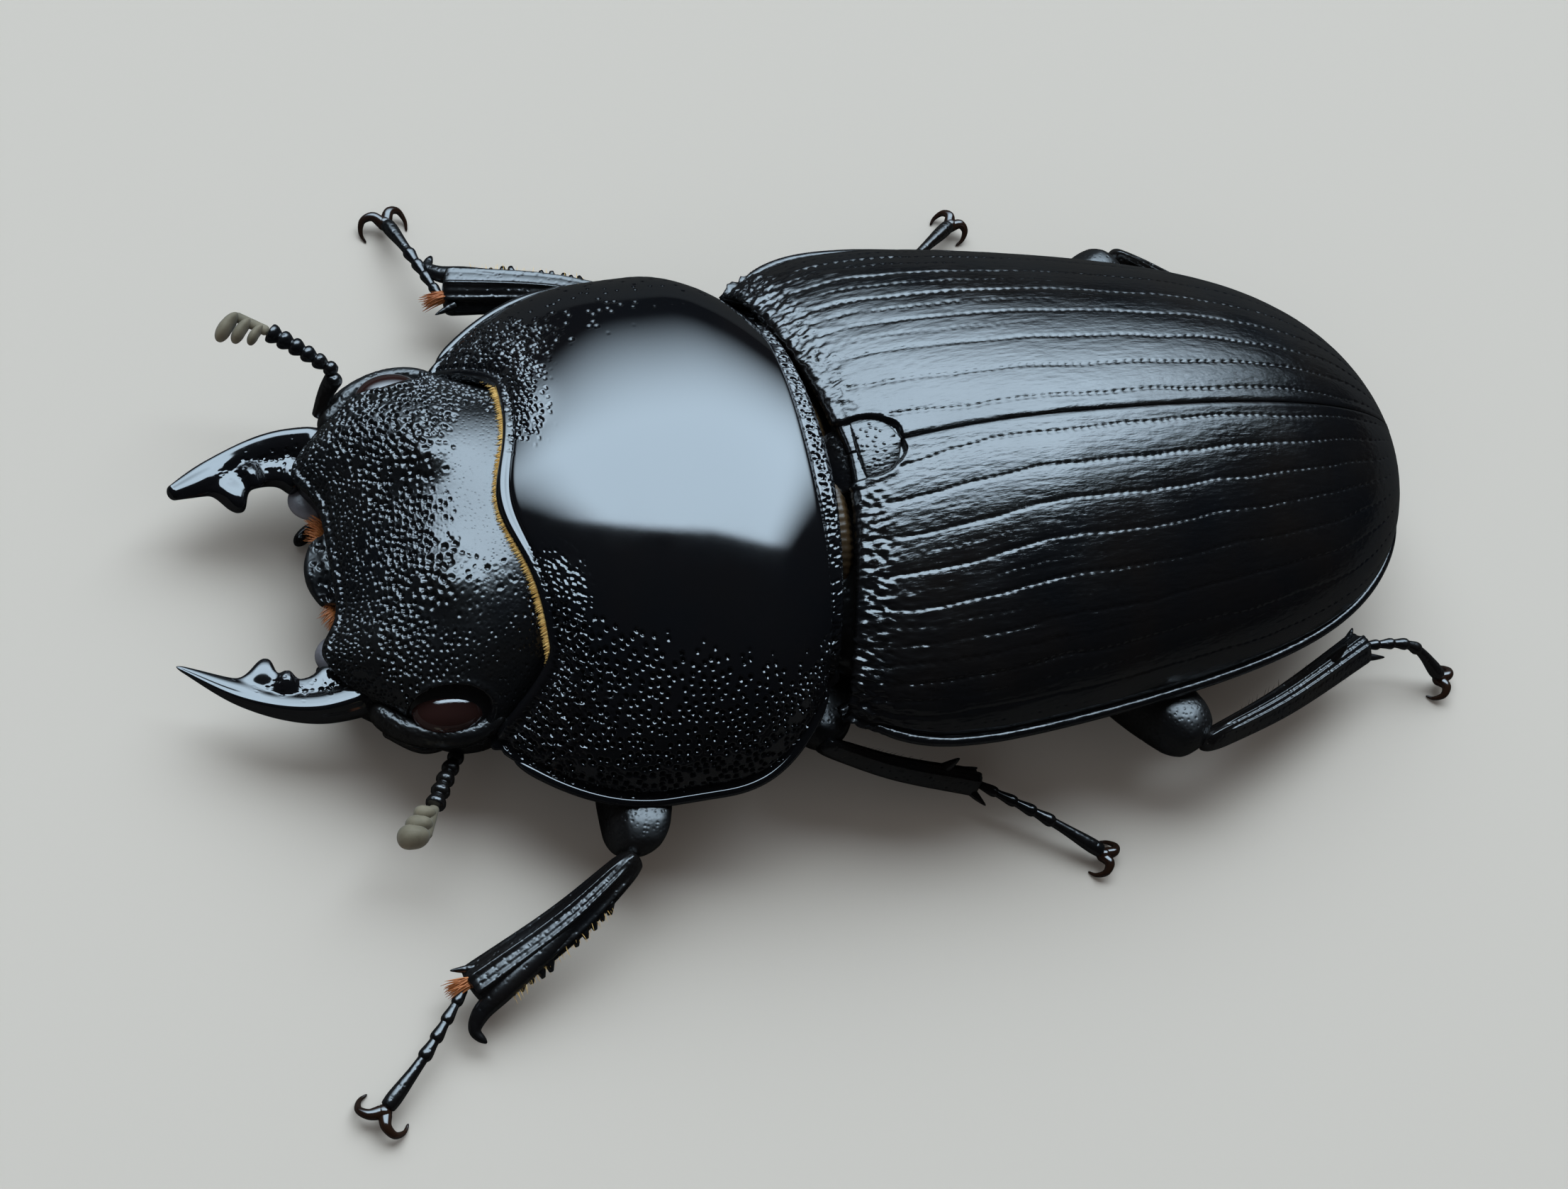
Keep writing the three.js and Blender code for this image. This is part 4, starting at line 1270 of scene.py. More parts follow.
# %% [markdown]
# ## The ridge round each eye
#
# A stag beetle's cheek runs past the eye as a ridge, so that the eye lies in a trough
# between it and the head. From the far side it hides the eye's glint, and from the near
# side it is a rough band under the eye.
# It is a bent limb, from the head's front corner round the eye to the temple.


# %% Cheek ridges
def ridge_section(share, angle):
    fill = (0.75 + 0.35 * (1 - share)) * ended(share, 0.12, 0.2)
    return RIDGE_RADIUS * fill, 1.25 * RIDGE_RADIUS * fill


def ridge_mark(share, angle):
    return smooth(share, 0.05, 0.15) * smooth(1 - share, 0.05, 0.15)


RIDGE_RADIUS = 0.36
RIDGE_PATH = [
    (4.55, -13.75, 4.3), (5.45, -12.95, 4.45), (5.92, -11.9, 4.55), (5.95, -10.9, 4.6),
    (5.45, -9.85, 4.7),
]
for name, side in SIDES:
    ridge = limb("ridge", RIDGE_PATH, ridge_section, rows=130, sides=60, mark=ridge_mark)
    ridge = pitted(
        f"cheek_ridge_{name}", ridge, thigh_shell, Spacing=0.11, Density=110.0, Radius=0.07,
        Depth=0.04, Lip=0.006, Wobble=0.08, Seed=19,
    )
    keep(on_side(ridge, side), FORE, thigh_shell)

# %% [markdown]
# ## Bodies between two sheets
#
# The belly plates, the underside of the head and the lip are solid lumps with a top and
# a bottom. Each is closed from its two sheets, and its ends are rounded off instead of
# capped flat, so that no sharp rim gives the construction away.


# %% Closing two sheets into a body
def between(name, above, below, edge=0.1, steps=4, **marks):
    """Closes an upper and a lower grid into one body whose ends are rounded."""
    ring = np.concatenate([above, below[:, ::-1]], axis=1)
    middle = (ring + ring[:, ::-1]) / 2
    ends = []
    for end, inner in ((0, 1), (-1, -2)):
        outward = unit(middle[end] - middle[inner])
        angles = [math.pi / 2 * step / steps for step in range(1, steps + 1)]
        ends.append(np.array([
            middle[end] + (ring[end] - middle[end]) * math.cos(a) + outward * edge * math.sin(a)
            for a in angles
        ]))
    ring = np.concatenate([ends[0][::-1], ring, ends[1]])
    rows, columns = ring.shape[:2]
    for label, values in marks.items():
        padded = np.pad(values, ((steps, steps), (0, 0)))
        marks[label] = np.concatenate([padded, np.zeros_like(padded)], axis=1)
    faces = grid_faces(rows, columns, closed=True)
    return face_outwards(mesh_from(name, ring, faces, **marks))


def joined(name, *meshes):
    """Several closed meshes gathered in one."""
    work = bmesh.new()
    for mesh in meshes:
        work.from_mesh(mesh)
    whole = bpy.data.meshes.new(name)
    work.to_mesh(whole)
    work.free()
    return whole


# %% [markdown]
# ## The head's underside, the neck and the lip
#
# Below its thin edge the head is a shallow bowl, with a flat chin plate and a small lip
# in front. The neck is a smooth black plug that slides into the prothorax.
# They are little seen, so they get broad shapes and no fine relief of their own.


# %% Head underside, neck, chin and lip
def head_inside(along, across):
    point = head_top(along, across * 0.97)
    point[..., 2] -= 0.3
    return point


head_shares = shares_of(40, 60, NECK_SHARE, 0.97)
head_below = between(
    "head_underside", head_inside(*head_shares), head_bottom(*head_shares), edge=0.12,
)
keep(head_below, FORE, belly_shell)
keep(egg("neck", (0, -7.2, 4.2), (5.2, 2.2, 2.1)), FORE, belly_shell)
keep(egg("chin", (0, -12.4, 2.15), (1.7, 1.9, 0.42)), FORE, belly_shell, "labium")

LIP_HALF_WIDTH = 1.25
LIP_BACK = -13.7
LIP_FRONT = -14.85


def lip_skin(height, droop):
    def skin(along, across):
        x = LIP_HALF_WIDTH * across * (1 - 0.2 * along ** 2)
        y = LIP_BACK + (LIP_FRONT - LIP_BACK) * along + 0.25 * across ** 2 * along
        waves = 0.05 * np.cos(5 * x) + 0.07 * hill(along - 0.55, 0.16)
        dome = 0.12 * (1 - across ** 2)
        return np.stack([x, y, height - droop * along + (dome + waves) * np.sign(height - 4)], -1)
    return skin


lip_shares = shares_of(60, 110)
lip_above = lip_skin(4.6, 0.25)(*lip_shares)
lip_below = lip_skin(3.85, -0.15)(*lip_shares)
lip_mark = np.full(lip_above.shape[:2], 0.8)
lip = between("lip", lip_above, lip_below, edge=0.15, pits=lip_mark)
lip = pitted(
    "lip_plate", lip, belly_shell, Spacing=0.2, Density=30.0, Radius=0.14, Depth=0.07,
    Wobble=0.2, Seed=21,
)
keep(lip, FORE, belly_shell, "labrum")

# %% [markdown]
# ## Eyes
#
# A beetle's eye is one hard, dark bead covered with thousands of tiny lenses, and light
# sinks in as deep brown. An egg with a clean, deep finish is enough, because each lens is
# far too small to see.

# %% Eyes
EYE_SINK = {"left": 0.05, "right": 0.2}
for name, side in SIDES:
    seat = EYE_CENTRE * [side, 1, 1] - [0, 0, EYE_SINK[name]]
    lens = egg(f"lens_{name}", seat, EYE_RADII, sides=64, rings=40)
    keep(lens, FORE, eye_shell, f"eye_{name}")

# %% [markdown]
# ## Jaws
#
# Each mandible is a bowed blade: a smooth round outer ridge, a rough trough along the
# top of its base, a thin inner edge with two blunt teeth, and a sharp tip. The right one
# is worn blunt.
# A limb whose section changes with the angle round it gives the ridge and the trough.

# %% Mandibles
JAW_PATH = [(3.85, -13.6, 4.1), (4.05, -15.3, 4.15), (3.6, -17.2, 4.35)]
JAW_WIDTH = 0.72
JAW_HEIGHT = 0.75
TROUGH_ANGLE = 1.95
JAW_TIPS = {"left": ((2.55, -19.1, 4.75), 0.05), "right": ((2.95, -18.55, 4.9), 0.2)}


def knob(distance, width):
    """A hill with a broad round top and steep sides."""
    return np.exp(-(np.abs(distance / width) ** 2.6))


def jaw_section(tip_radius):
    """A blade with a trough on top between two keels, and two blunt teeth on its edge."""
    def section(share, angle):
        width = tip_radius + JAW_WIDTH * (1 - share ** 1.7)
        height = tip_radius + JAW_HEIGHT * (1 - share ** 1.1)
        start = smooth(share, 0.02, 0.15)
        trough = 0.34 * hill(angle_from(angle, TROUGH_ANGLE), 0.5)
        trough = trough * start * smooth(0.74 - share, 0, 0.25)
        keel = 0.15 * hill(angle_from(angle, 0.95), 0.22) * start
        inner_keel = 0.12 * hill(angle_from(angle, 2.75), 0.2) * start * smooth(0.9 - share, 0, 0.3)
        inner = 0.12 * hill(angle_from(angle, math.pi), 0.3) * smooth(share, 0.1, 0.3)
        factor = (1 - trough + keel + inner_keel + inner) * ended(share, 0.04, 0.03)
        lower = 0.72 * knob(angle_from(angle, math.pi), 0.55) * knob(share - 0.62, 0.075)
        upper = 0.42 * knob(angle_from(angle, math.pi - 0.75), 0.5) * knob(share - 0.49, 0.05)
        molar = 0.3 * hill(angle_from(angle, math.pi), 0.6) * hill(share - 0.24, 0.09)
        teeth = lower + upper + molar
        return width * factor + teeth, height * factor + teeth * 0.8
    return section


def trough_mark(share, angle):
    fade = smooth(share, 0.0, 0.1) * smooth(0.75 - share, 0, 0.2)
    return hill(angle_from(angle, TROUGH_ANGLE), 0.6) * fade


for name, side in SIDES:
    tip, tip_radius = JAW_TIPS[name]
    blade = limb(
        f"blade_{name}", [*JAW_PATH, tip], jaw_section(tip_radius), rows=230, sides=180,
        mark=trough_mark,
    )
    jaw = pitted(
        f"pitted_blade_{name}", blade, polished_shell, Spacing=0.14, Density=70.0, Radius=0.1,
        Depth=0.05, Lip=0.008, Wobble=0.15, Seed=7,
    )
    jaw.name = f"jaw_{name}"
    base = egg(f"jaw_base_{name}", (2.6, -14.3, 3.95), (0.7, 0.8, 0.24))
    keep(on_side(jaw, side), FORE, polished_shell, f"mandible_{name}")
    keep(on_side(base, side), FORE, jaw_base_skin)

# %% [markdown]
# ## The bead round the wing cases
#
# A thin round bead edges each wing case and draws a bright line along its side. A line
# painted on would not catch the light, so the bead is a rod of its own. It follows the
# rim by the same formula that shapes the body under the wing cases.


# %% The inner face of the wing cases
def under_wings(along, across, depth):
    """The inner face of the closed wing cases, at a depth below their skin."""
    reach = np.abs(across)
    shoulder = 1 - SHOULDER_CUT * clamp(1 - along / SHOULDER_AT) ** 3
    taper = 1 - TAPER * clamp((along - SHOULDER_AT) / (1 - SHOULDER_AT)) ** 1.4
    half_width = ELYTRA_HALF_WIDTH * shoulder * taper * np.sqrt(clamp(1 - along ** TIP_POWER))
    fall = clamp((along - CREST_AT) / (1 - CREST_AT))
    crest = ELYTRA_RIM + (ELYTRA_CREST - ELYTRA_RIM) * np.sqrt(clamp(1 - fall ** 2.5))
    crest = np.maximum(crest - 1.55 * clamp(1 - along / CREST_AT) ** 2 - depth, ELYTRA_RIM)
    arch = clamp(1 - reach ** 2) ** (1 / ARCH_POWER)
    base_curve = (1 - reach ** 1.5 + 0.25 * reach ** 8) * (1 - along) ** 4
    x = np.maximum(half_width - depth * 0.9, 0.02) * across
    y = (ELYTRA_LENGTH - depth) * along + base_curve
    return np.stack([x, y, ELYTRA_RIM + (crest - ELYTRA_RIM) * arch], -1)


crest_point = under_wings(np.array(CREST_AT), np.array(0.0), 0.0)
print("crest of the wing cases in mm:", [round(float(v), 2) for v in crest_point])

# %% Wing beads
WING_BEAD = round_section(0.17, 0.04, 0.06)
rim_share = np.linspace(0.015, 0.985, 40)
rim_path = under_wings(rim_share, np.ones(40), 0.0) + np.array([0.0, -0.06, 0.06])
rim_path[:, 0] += BEAD_STAND_OFF * np.sqrt(clamp(1 - rim_share ** 6))
for name, side in SIDES:
    bead = limb(f"wing_bead_{name}", rim_path, WING_BEAD, rows=300, sides=16)
    keep(on_side(bead, side), BODY, wing_shell)

# %% [markdown]
# ## Belly plates
#
# Under the wing cases the hind body is a smooth hull. Its skin follows the inside of the
# wing cases above, and is grooved across below, one groove for each abdomen ring.
# The prothorax has its own breast plate between the front legs. The same formulas as in
# the model give all three.

# %% The hind body
HULL_DEPTH = 0.75
ABDOMEN_RINGS = 9.5


def hull_top(along, across):
    point = under_wings(along, across, HULL_DEPTH)
    point[..., 2] -= 0.6 * clamp(1 - along / 0.18)
    return point


def hull_bottom(along, across):
    point = hull_top(along, across)
    depth = 3.35 * clamp(1.03 - along ** 3.2) ** 0.6
    arch = clamp(1 - np.abs(across) ** 2.6) ** (1 / 1.6)
    ring = clamp(np.cos(along * math.pi * 2 * ABDOMEN_RINGS)) ** 6
    point[..., 2] = ELYTRA_RIM - 0.45 - depth * arch + np.where(along > 0.45, 0.12, 0) * ring
    return point


chest_shares = shares_of(40, 70, 0.03, 0.4)
thorax = between("hind_chest", hull_top(*chest_shares), hull_bottom(*chest_shares))
keep(thorax, BODY, belly_shell, "hind_thorax")
keep(egg("waist_collar", (0, 0.9, 4.1), (5.9, 2.2, 2.0)), BODY, belly_shell)
belly_shares = shares_of(120, 70, 0.406, 0.965)
belly = between("belly", hull_top(*belly_shares), hull_bottom(*belly_shares))
keep(belly, BODY, belly_shell, "abdomen")


# %% The breast plate
def breast_top(along, across):
    return pronotum_skin(0.1 + 0.8 * along, across, depth=0.95)


def breast_bottom(along, across):
    point = breast_top(along, across)
    keel = 0.35 * hill(across, 0.16) * np.sin(math.pi * along)
    arch = clamp(1 - np.abs(across) ** 2.4) ** (1 / 1.5)
    depth = 1.7 + 0.7 * np.sin(math.pi * along)
    level = np.minimum(point[..., 2], PRONOTUM_RIM)
    point[..., 2] = level - 0.3 - (depth + keel) * arch
    return point


breast_shares = shares_of(50, 70)
breast = between("breast_plate", breast_top(*breast_shares), breast_bottom(*breast_shares))
keep(breast, FORE, belly_shell, "prosternum")

# %% [markdown]
# ## The scutellum and the waist
#
# The scutellum is a small rounded shield where the two wing cases meet the chest. It
# lies level with them in a seat pressed into both, so only a fine groove outlines it.
# Its height is read off the wing case formula at each point. Between chest and wing
# cases runs a strip of folded brown skin, mostly in shadow.

# %% Scutellum
SCUTELLUM_BASE = 1.3
SCUTELLUM_TIP = 2.48
SCUTELLUM_HALF_WIDTH = 0.96
SCUTELLUM_TUCK = 1.2
SCUTELLUM_ROLL = 0.07
WING_BASE_HALF_WIDTH = 7.3


def wing_height(x, y):
    """Height of the closed wing cases at a point near the middle."""
    along = np.zeros_like(x)
    for _ in range(12):
        reach = np.abs(x) / WING_BASE_HALF_WIDTH
        curve = (1 - reach ** 1.5) * (1 - along) ** 4
        along = clamp(0.5 * along + 0.5 * (y - curve) / ELYTRA_LENGTH)
    return under_wings(along, x / WING_BASE_HALF_WIDTH, 0.0)[..., 2]


def shield_skin(along, across):
    back = SCUTELLUM_BASE - SCUTELLUM_TUCK
    y = back + (SCUTELLUM_TIP - back) * along
    share = clamp((y - SCUTELLUM_BASE) / (SCUTELLUM_TIP - SCUTELLUM_BASE))
    x = SCUTELLUM_HALF_WIDTH * np.sqrt(clamp(1.03 - share ** 2.2)) * across
    tuck = 1.25 * clamp((SCUTELLUM_BASE - y) / SCUTELLUM_TUCK) ** 1.1
    crease = 0.06 * hill(y - SCUTELLUM_BASE + 0.12, 0.09)
    lift = 0.045 - 0.07 * across ** 2 - tuck - crease
    return np.stack([x, y, wing_height(x, y) + lift], -1)


shield = shield_skin(*shares_of(70, 90))
inside = np.zeros(shield.shape[:2])
inside[20:-12, 14:-14] = 1
shield = pitted(
    "scutellum_shield", sheet("shield", shield, SCUTELLUM_ROLL, pits=inside), wing_shell, Spacing=0.13,
    Density=30.0, Radius=0.055, Depth=0.03, Lip=0.004, Seed=4,
)
keep(shield, BODY, wing_shell, "scutellum")


# %% Waist skin
def waist_section(share, angle):
    folds = 1 + 0.06 * np.cos(angle * 5) + 0.03 * np.cos(share * 90)
    fill = folds * ended(share, 0.2, 0.3)
    return 0.34 * fill, 0.3 * fill


WAIST_PATH = [(0.5, 0.5, 6.35), (1.5, 0.5, 6.4), (2.5, 0.48, 6.1), (3.4, 0.45, 5.5)]
for name, side in SIDES:
    waist = limb(f"waist_skin_{name}", WAIST_PATH, waist_section, rows=160, sides=40)
    keep(on_side(waist, side), BODY, joint_skin)

# %% [markdown]
# ## Jointed stalks
#
# Feelers and feet are strings of small joints, each swelling towards its far end, with
# the last one often longer. They could be modelled joint by joint. One tree does all of
# them: it turns a line into a curve, gives each point a radius from its place within its
# joint, and sweeps a ring along.


# %% The stalk tree
def spaced_curve(tree, start, count):
    """Turns the start mesh into a curve of evenly spaced points, and gives their shares."""
    path = put(tree, "GeometryNodeMeshToCurve", ("Mesh", start.outputs["Geometry"]))
    wires = (("Curve", path.outputs[0]), ("Count", start.outputs[count]))
    spaced = put(tree, "GeometryNodeResampleCurve", *wires)
    return spaced.outputs[0], put(tree, "GeometryNodeSplineParameter").outputs["Factor"]


stalk_tree, start, end, asked = new_tree(
    "jointed stalk", Joints=6, Steps=120, Sides=18, Radius=0.2, Waist=0.6, Skew=0.8,
    Last_Share=0.17, Widening=0.0, Finish=None,
)

spaced, factor = spaced_curve(stalk_tree, start, "Steps")
share = Rule(stalk_tree, factor)
early = (share / (1 - asked("Last_Share"))).clamped() * (asked("Joints") - 1)
late = ((share - 1 + asked("Last_Share")) / asked("Last_Share")).clamped()
within = (early + late).of("FRACT")
bulge = ((within ** asked("Skew")) * math.pi).of("SINE").clamped() ** 0.6
tip = (share * 40).clamped() ** 0.5 * ((1 - share) * 40).clamped() ** 0.5
radius = asked("Radius") * (asked("Waist") + (1 - asked("Waist")) * bulge)
radius = radius * (1 + asked("Widening") * share) * (tip * 0.97 + 0.03)
ring = put(
    stalk_tree, "GeometryNodeCurvePrimitiveCircle", ("Resolution", start.outputs["Sides"]),
)
swept = put(
    stalk_tree, "GeometryNodeCurveToMesh",
    ("Curve", spaced), ("Profile Curve", ring.outputs[0]), ("Scale", radius),
    ("Fill Caps", True),
)
dress(stalk_tree, start, end, swept.outputs[0])


# %% Start lines and stalks
def line_mesh(name, *lines):
    """A start mesh of one or more lines, each a list of points or (points, directions)."""
    mesh = bpy.data.meshes.new(name)
    points = []
    edges = []
    lies = []
    lanes = []
    for number, line in enumerate(lines):
        spots, directions = line if isinstance(line, tuple) else (line, np.zeros_like(line))
        first = len(points)
        points.extend(map(tuple, spots))
        lies.extend(np.asarray(directions, float).ravel())
        lanes.extend([(number + 0.5) / len(lines)] * len(spots))
        edges.extend((first + i, first + i + 1) for i in range(len(spots) - 1))
    mesh.from_pydata(points, edges, [])
    mesh.attributes.new("lie", "FLOAT_VECTOR", "POINT").data.foreach_set("vector", lies)
    mesh.attributes.new("lane", "FLOAT", "POINT").data.foreach_set("value", lanes)
    return mesh


def stalk(name, points, steps=120, **sizes):
    line = line_mesh(f"{name}_line", smooth_path(points, np.linspace(0, 1, 60)))
    return face_outwards(grow(name, stalk_tree, line, Steps=steps, **sizes))


# %% [markdown]
# ## Bristles, fringes and teeth
#
# Many small spikes stand in rows: the gold fringe of the pronotum, tufts at the lip and
# the ankles, bristles and teeth along the shins. Hair particles would be lost on export,
# so one tree sets small solid cones along a line, leaning the way each point says, with
# uneven sizes.

# %% The bristle tree
bristle_tree, start, end, asked = new_tree(
    "bristles", Count=100, Sides=5, Length=0.3, Thickness=0.03, Tip=0.1, Curl=0.1,
    Spread=0.25, Unevenness=0.3, Seed=1, Finish=None,
)

spaced, factor = spaced_curve(bristle_tree, start, "Count")
rooted = store(bristle_tree, spaced, "root", factor)
cone = put(
    bristle_tree, "GeometryNodeMeshCone",
    ("Vertices", start.outputs["Sides"]), ("Side Segments", 3),
    ("Radius Bottom", start.outputs["Thickness"]), ("Depth", start.outputs["Length"]),
    ("Radius Top", asked("Thickness") * asked("Tip")),
)
spot = put(bristle_tree, "GeometryNodeInputPosition").outputs[0]
split = put(bristle_tree, "ShaderNodeSeparateXYZ", (0, spot))
height = Rule(bristle_tree, split.outputs["Z"]) / asked("Length")
sag = height * height * asked("Curl") * asked("Length")
bend = put(bristle_tree, "ShaderNodeCombineXYZ", (0, sag))
bent = put(
    bristle_tree, "GeometryNodeSetPosition",
    ("Geometry", cone.outputs["Mesh"]), ("Offset", bend.outputs[0]),
)
lie = recall(bristle_tree, "lie", "FLOAT_VECTOR")
jitter = put(
    bristle_tree, "FunctionNodeRandomValue", (0, (-1, -1, -1)), (1, (1, 1, 1)),
    ("Seed", start.outputs["Seed"]), data_type="FLOAT_VECTOR",
)
spread = scaled(bristle_tree, jitter.outputs[0], start.outputs["Spread"])
leaning = put(bristle_tree, "ShaderNodeVectorMath", (0, lie), (1, spread), operation="ADD")
turned = put(
    bristle_tree, "FunctionNodeAlignRotationToVector", ("Vector", leaning.outputs[0]), axis="Z",
)
lengths = put(
    bristle_tree, "FunctionNodeRandomValue", (2, -1.0), (3, 1.0),
    ("Seed", start.outputs["Seed"]), data_type="FLOAT",
)
size = 1 + Rule(bristle_tree, lengths.outputs[1]) * asked("Unevenness")
stood = put(
    bristle_tree, "GeometryNodeInstanceOnPoints",
    ("Points", rooted), ("Instance", bent.outputs[0]),
    ("Rotation", turned.outputs[0]), ("Scale", size),
)
dress(bristle_tree, start, end, stood.outputs[0])


# %% [markdown]
# ## A map for the hairs
#
# Where looks are baked, a hair takes its colour from a small patch of a map. Unwrapping
# thousands of hairs would give each a sliver of its own. It is enough to lay each one at
# its root's place: across the map by its share of the row, up the map by its row.

# %% Hair map and rows of bristles
MAP_EDGE = 0.01
MAP_SPAN = 0.97
PATCH = 0.003


def values_of(items, label, kind):
    """One value of every item, as a plain array."""
    values = np.zeros(len(items), kind)
    items.foreach_get(label, values)
    return values


def map_roots(mesh):
    """Gives each hair a patch of the map at its root's place along its row."""
    corner = values_of(mesh.loops, "vertex_index", np.int32)
    first = values_of(mesh.polygons, "loop_start", np.int32)
    size = values_of(mesh.polygons, "loop_total", np.int32)
    root = values_of(mesh.attributes["root"].data, "value", np.float32)[corner]
    lane = values_of(mesh.attributes["lane"].data, "value", np.float32)[corner]
    turn = (np.arange(len(corner)) - np.repeat(first, size)) % 4
    u = MAP_EDGE + MAP_SPAN * root + PATCH * np.isin(turn, (1, 2))
    v = MAP_EDGE + MAP_SPAN * lane + PATCH * (turn > 1)
    layer = mesh.uv_layers.new(name="OFBake")
    layer.uv.foreach_set("vector", np.stack([u, v], -1).astype(np.float32).ravel())
    return mesh


def bristles(name, *lines, **sizes):
    return map_roots(grow(name, bristle_tree, line_mesh(f"{name}_line", *lines), **sizes))


def keep_bristles(name, frame_matrix, finish, lines, **sizes):
    keep(bristles(name, *lines, Finish=finish, **sizes), frame_matrix, finish)


# %% [markdown]
# ## The gold fringe and the lip's tufts
#
# A dense row of short golden hairs leans out from under the pronotum's front edge and
# lies on the nape. It reads as a thin gold line. Looser orange tufts stand beside the
# lip.

# %% Fringe
fringe_across = np.linspace(-0.93, 0.93, 90)
edge = pronotum_skin(np.full_like(fringe_across, 0.012), fringe_across)
tucked = edge + np.array([0, -0.02, -0.16])
level = np.ones_like(fringe_across)
lean = np.stack([0.15 * fringe_across, -level, -0.35 * level], -1)
rows = [(tucked + np.array([0, 0.02 * n, -0.04 * n]), lean) for n in range(3)]
keep_bristles(
    "nape_fringe", FORE, golden_hair, rows, Count=420, Length=0.27, Thickness=0.035,
    Spread=0.14, Unevenness=0.25, Seed=2,
)

# %% Lip tufts
tuft_lines = []
for side in (1, -1):
    for n in range(4):
        spots = np.array([
            [side * (0.95 + 0.1 * n), -14.35, 4.2], [side * (1.45 + 0.1 * n), -14.15, 4.1],
        ])
        aims = np.array([[side * 0.4, -1.0, 0.0], [side * 0.9, -0.8, 0.0]])
        tuft_lines.append((spots, aims))
keep_bristles(
    "lip_tufts", FORE, rust_hair, tuft_lines, Count=22, Length=0.42, Thickness=0.024,
    Spread=0.25, Unevenness=0.4, Seed=6,
)


# %% Palps
def palp_section(share, angle):
    radius = 0.24 * (0.8 + 0.2 * np.sin(math.pi * share)) * ended(share, 0.08, 0.2)
    return radius, radius


for name, side in SIDES:
    spots = [(side * 2.3, -13.8, 2.15), (side * 2.5, -14.4, 2.1), (side * 2.1, -15.0, 2.1)]
    keep(limb(f"feeler_{name}", spots, palp_section), FORE, limb_shell, f"palp_{name}")

# %% [markdown]
# ## Antennae
#
# A stag beetle's feeler is elbowed. The long first joint, the scape, is followed by a
# string of six beads, and then by a club of three leaves that hang to one side. The
# beads shine, and the leaves are covered in fine grey felt.

# %% Antenna measures
ANTENNAE = {
    "left": {
        "scape": [(4.5, -12.9, 2.3), (5.0, -11.7, 1.85), (4.65, -10.5, 1.65)],
        "funicle": [(5.0, -10.5, 1.8), (6.2, -11.36, 2.2), (7.2, -12.0, 2.45)],
        "club": [(7.15, -11.97, 2.45), (8.1, -12.45, 2.5)],
        "hang": (-0.12, -0.72, 0), "thick": 0.42, "long": 1.15,
    },
    "right": {
        "scape": [(-5.75, -12.8, 2.7), (-6.25, -12.5, 3.4), (-6.5, -12.2, 3.95)],
        "funicle": [(-6.5, -12.2, 4.0), (-7.25, -13.15, 4.25), (-8.0, -14.05, 4.3)],
        "club": [(-7.97, -14.02, 4.3), (-8.65, -14.95, 4.3)],
        "hang": (0.5, -0.5, -0.1), "thick": 0.26, "long": 1.3,
    },
}
LEAF_HALF_WIDTH = 0.44
LEAF_SHARES = (0.22, 0.58, 0.94)
STEM = round_section(0.16)
print("leaves in each club:", len(LEAF_SHARES))


# %% Scapes and clubs
def scape_section(share, angle):
    radius = 0.24 * (0.8 + 0.5 * share) * ended(share, 0.06, 0.2)
    return radius, radius


def leaf_section(size, thick):
    def section(share, angle):
        fill = ended(share, 0.4, 0.45)
        return thick * size * (0.6 + 0.4 * share) * fill, LEAF_HALF_WIDTH * size * fill
    return section


def club(name, shape):
    """Three felted leaves hanging from a short stem."""
    root, tip = (np.array(spot) for spot in shape["club"])
    hang = np.array(shape["hang"])
    step = tip - root
    up = unit(np.cross(step, hang))
    parts = [limb("stem", [root, tip], STEM, rows=16, sides=16)]
    for number, share in enumerate(LEAF_SHARES):
        size = 0.7 + 0.15 * number
        drop = hang * size * shape["long"]
        foot = root + step * share - hang * 0.15
        middle = foot + drop * 0.55 + step * 0.04
        far = foot + drop * 1.15
        section = leaf_section(size, shape["thick"])
        leaf = limb(f"leaf_{number}", [foot, middle, far], section, rows=36, sides=32, up=up)
        parts.append(leaf)
    return joined(name, *parts)


# %% Keeping the antennae
for name, shape in ANTENNAE.items():
    scape = limb(f"scape_{name}", shape["scape"], scape_section, rows=40, sides=28)
    keep(scape, GROUND, limb_shell, f"antenna_{name}_scape")
    beads = stalk(
        f"beads_{name}", shape["funicle"], steps=180, Joints=6, Radius=0.23, Waist=0.58,
        Skew=1.5, Last_Share=1 / 6, Widening=0.35, Finish=limb_shell,
    )
    keep(beads, GROUND, limb_shell, f"antenna_{name}_funicle")
    keep(club(f"club_leaves_{name}", shape), GROUND, club_felt, f"antenna_{name}_club")

# %% [markdown]
# ## Legs
#
# All six legs have the same five parts: a round hip, a thick thigh, a shin that widens
# to the ankle, a foot of five joints, and two hooked claws. The front shins are made for
# digging: broad, ridged, with a row of teeth on the outer edge and a strong hook at the
# end. The others carry one thorn halfway and spurs at the ankle.
# A few joints' places drive everything, so one loop builds all six.

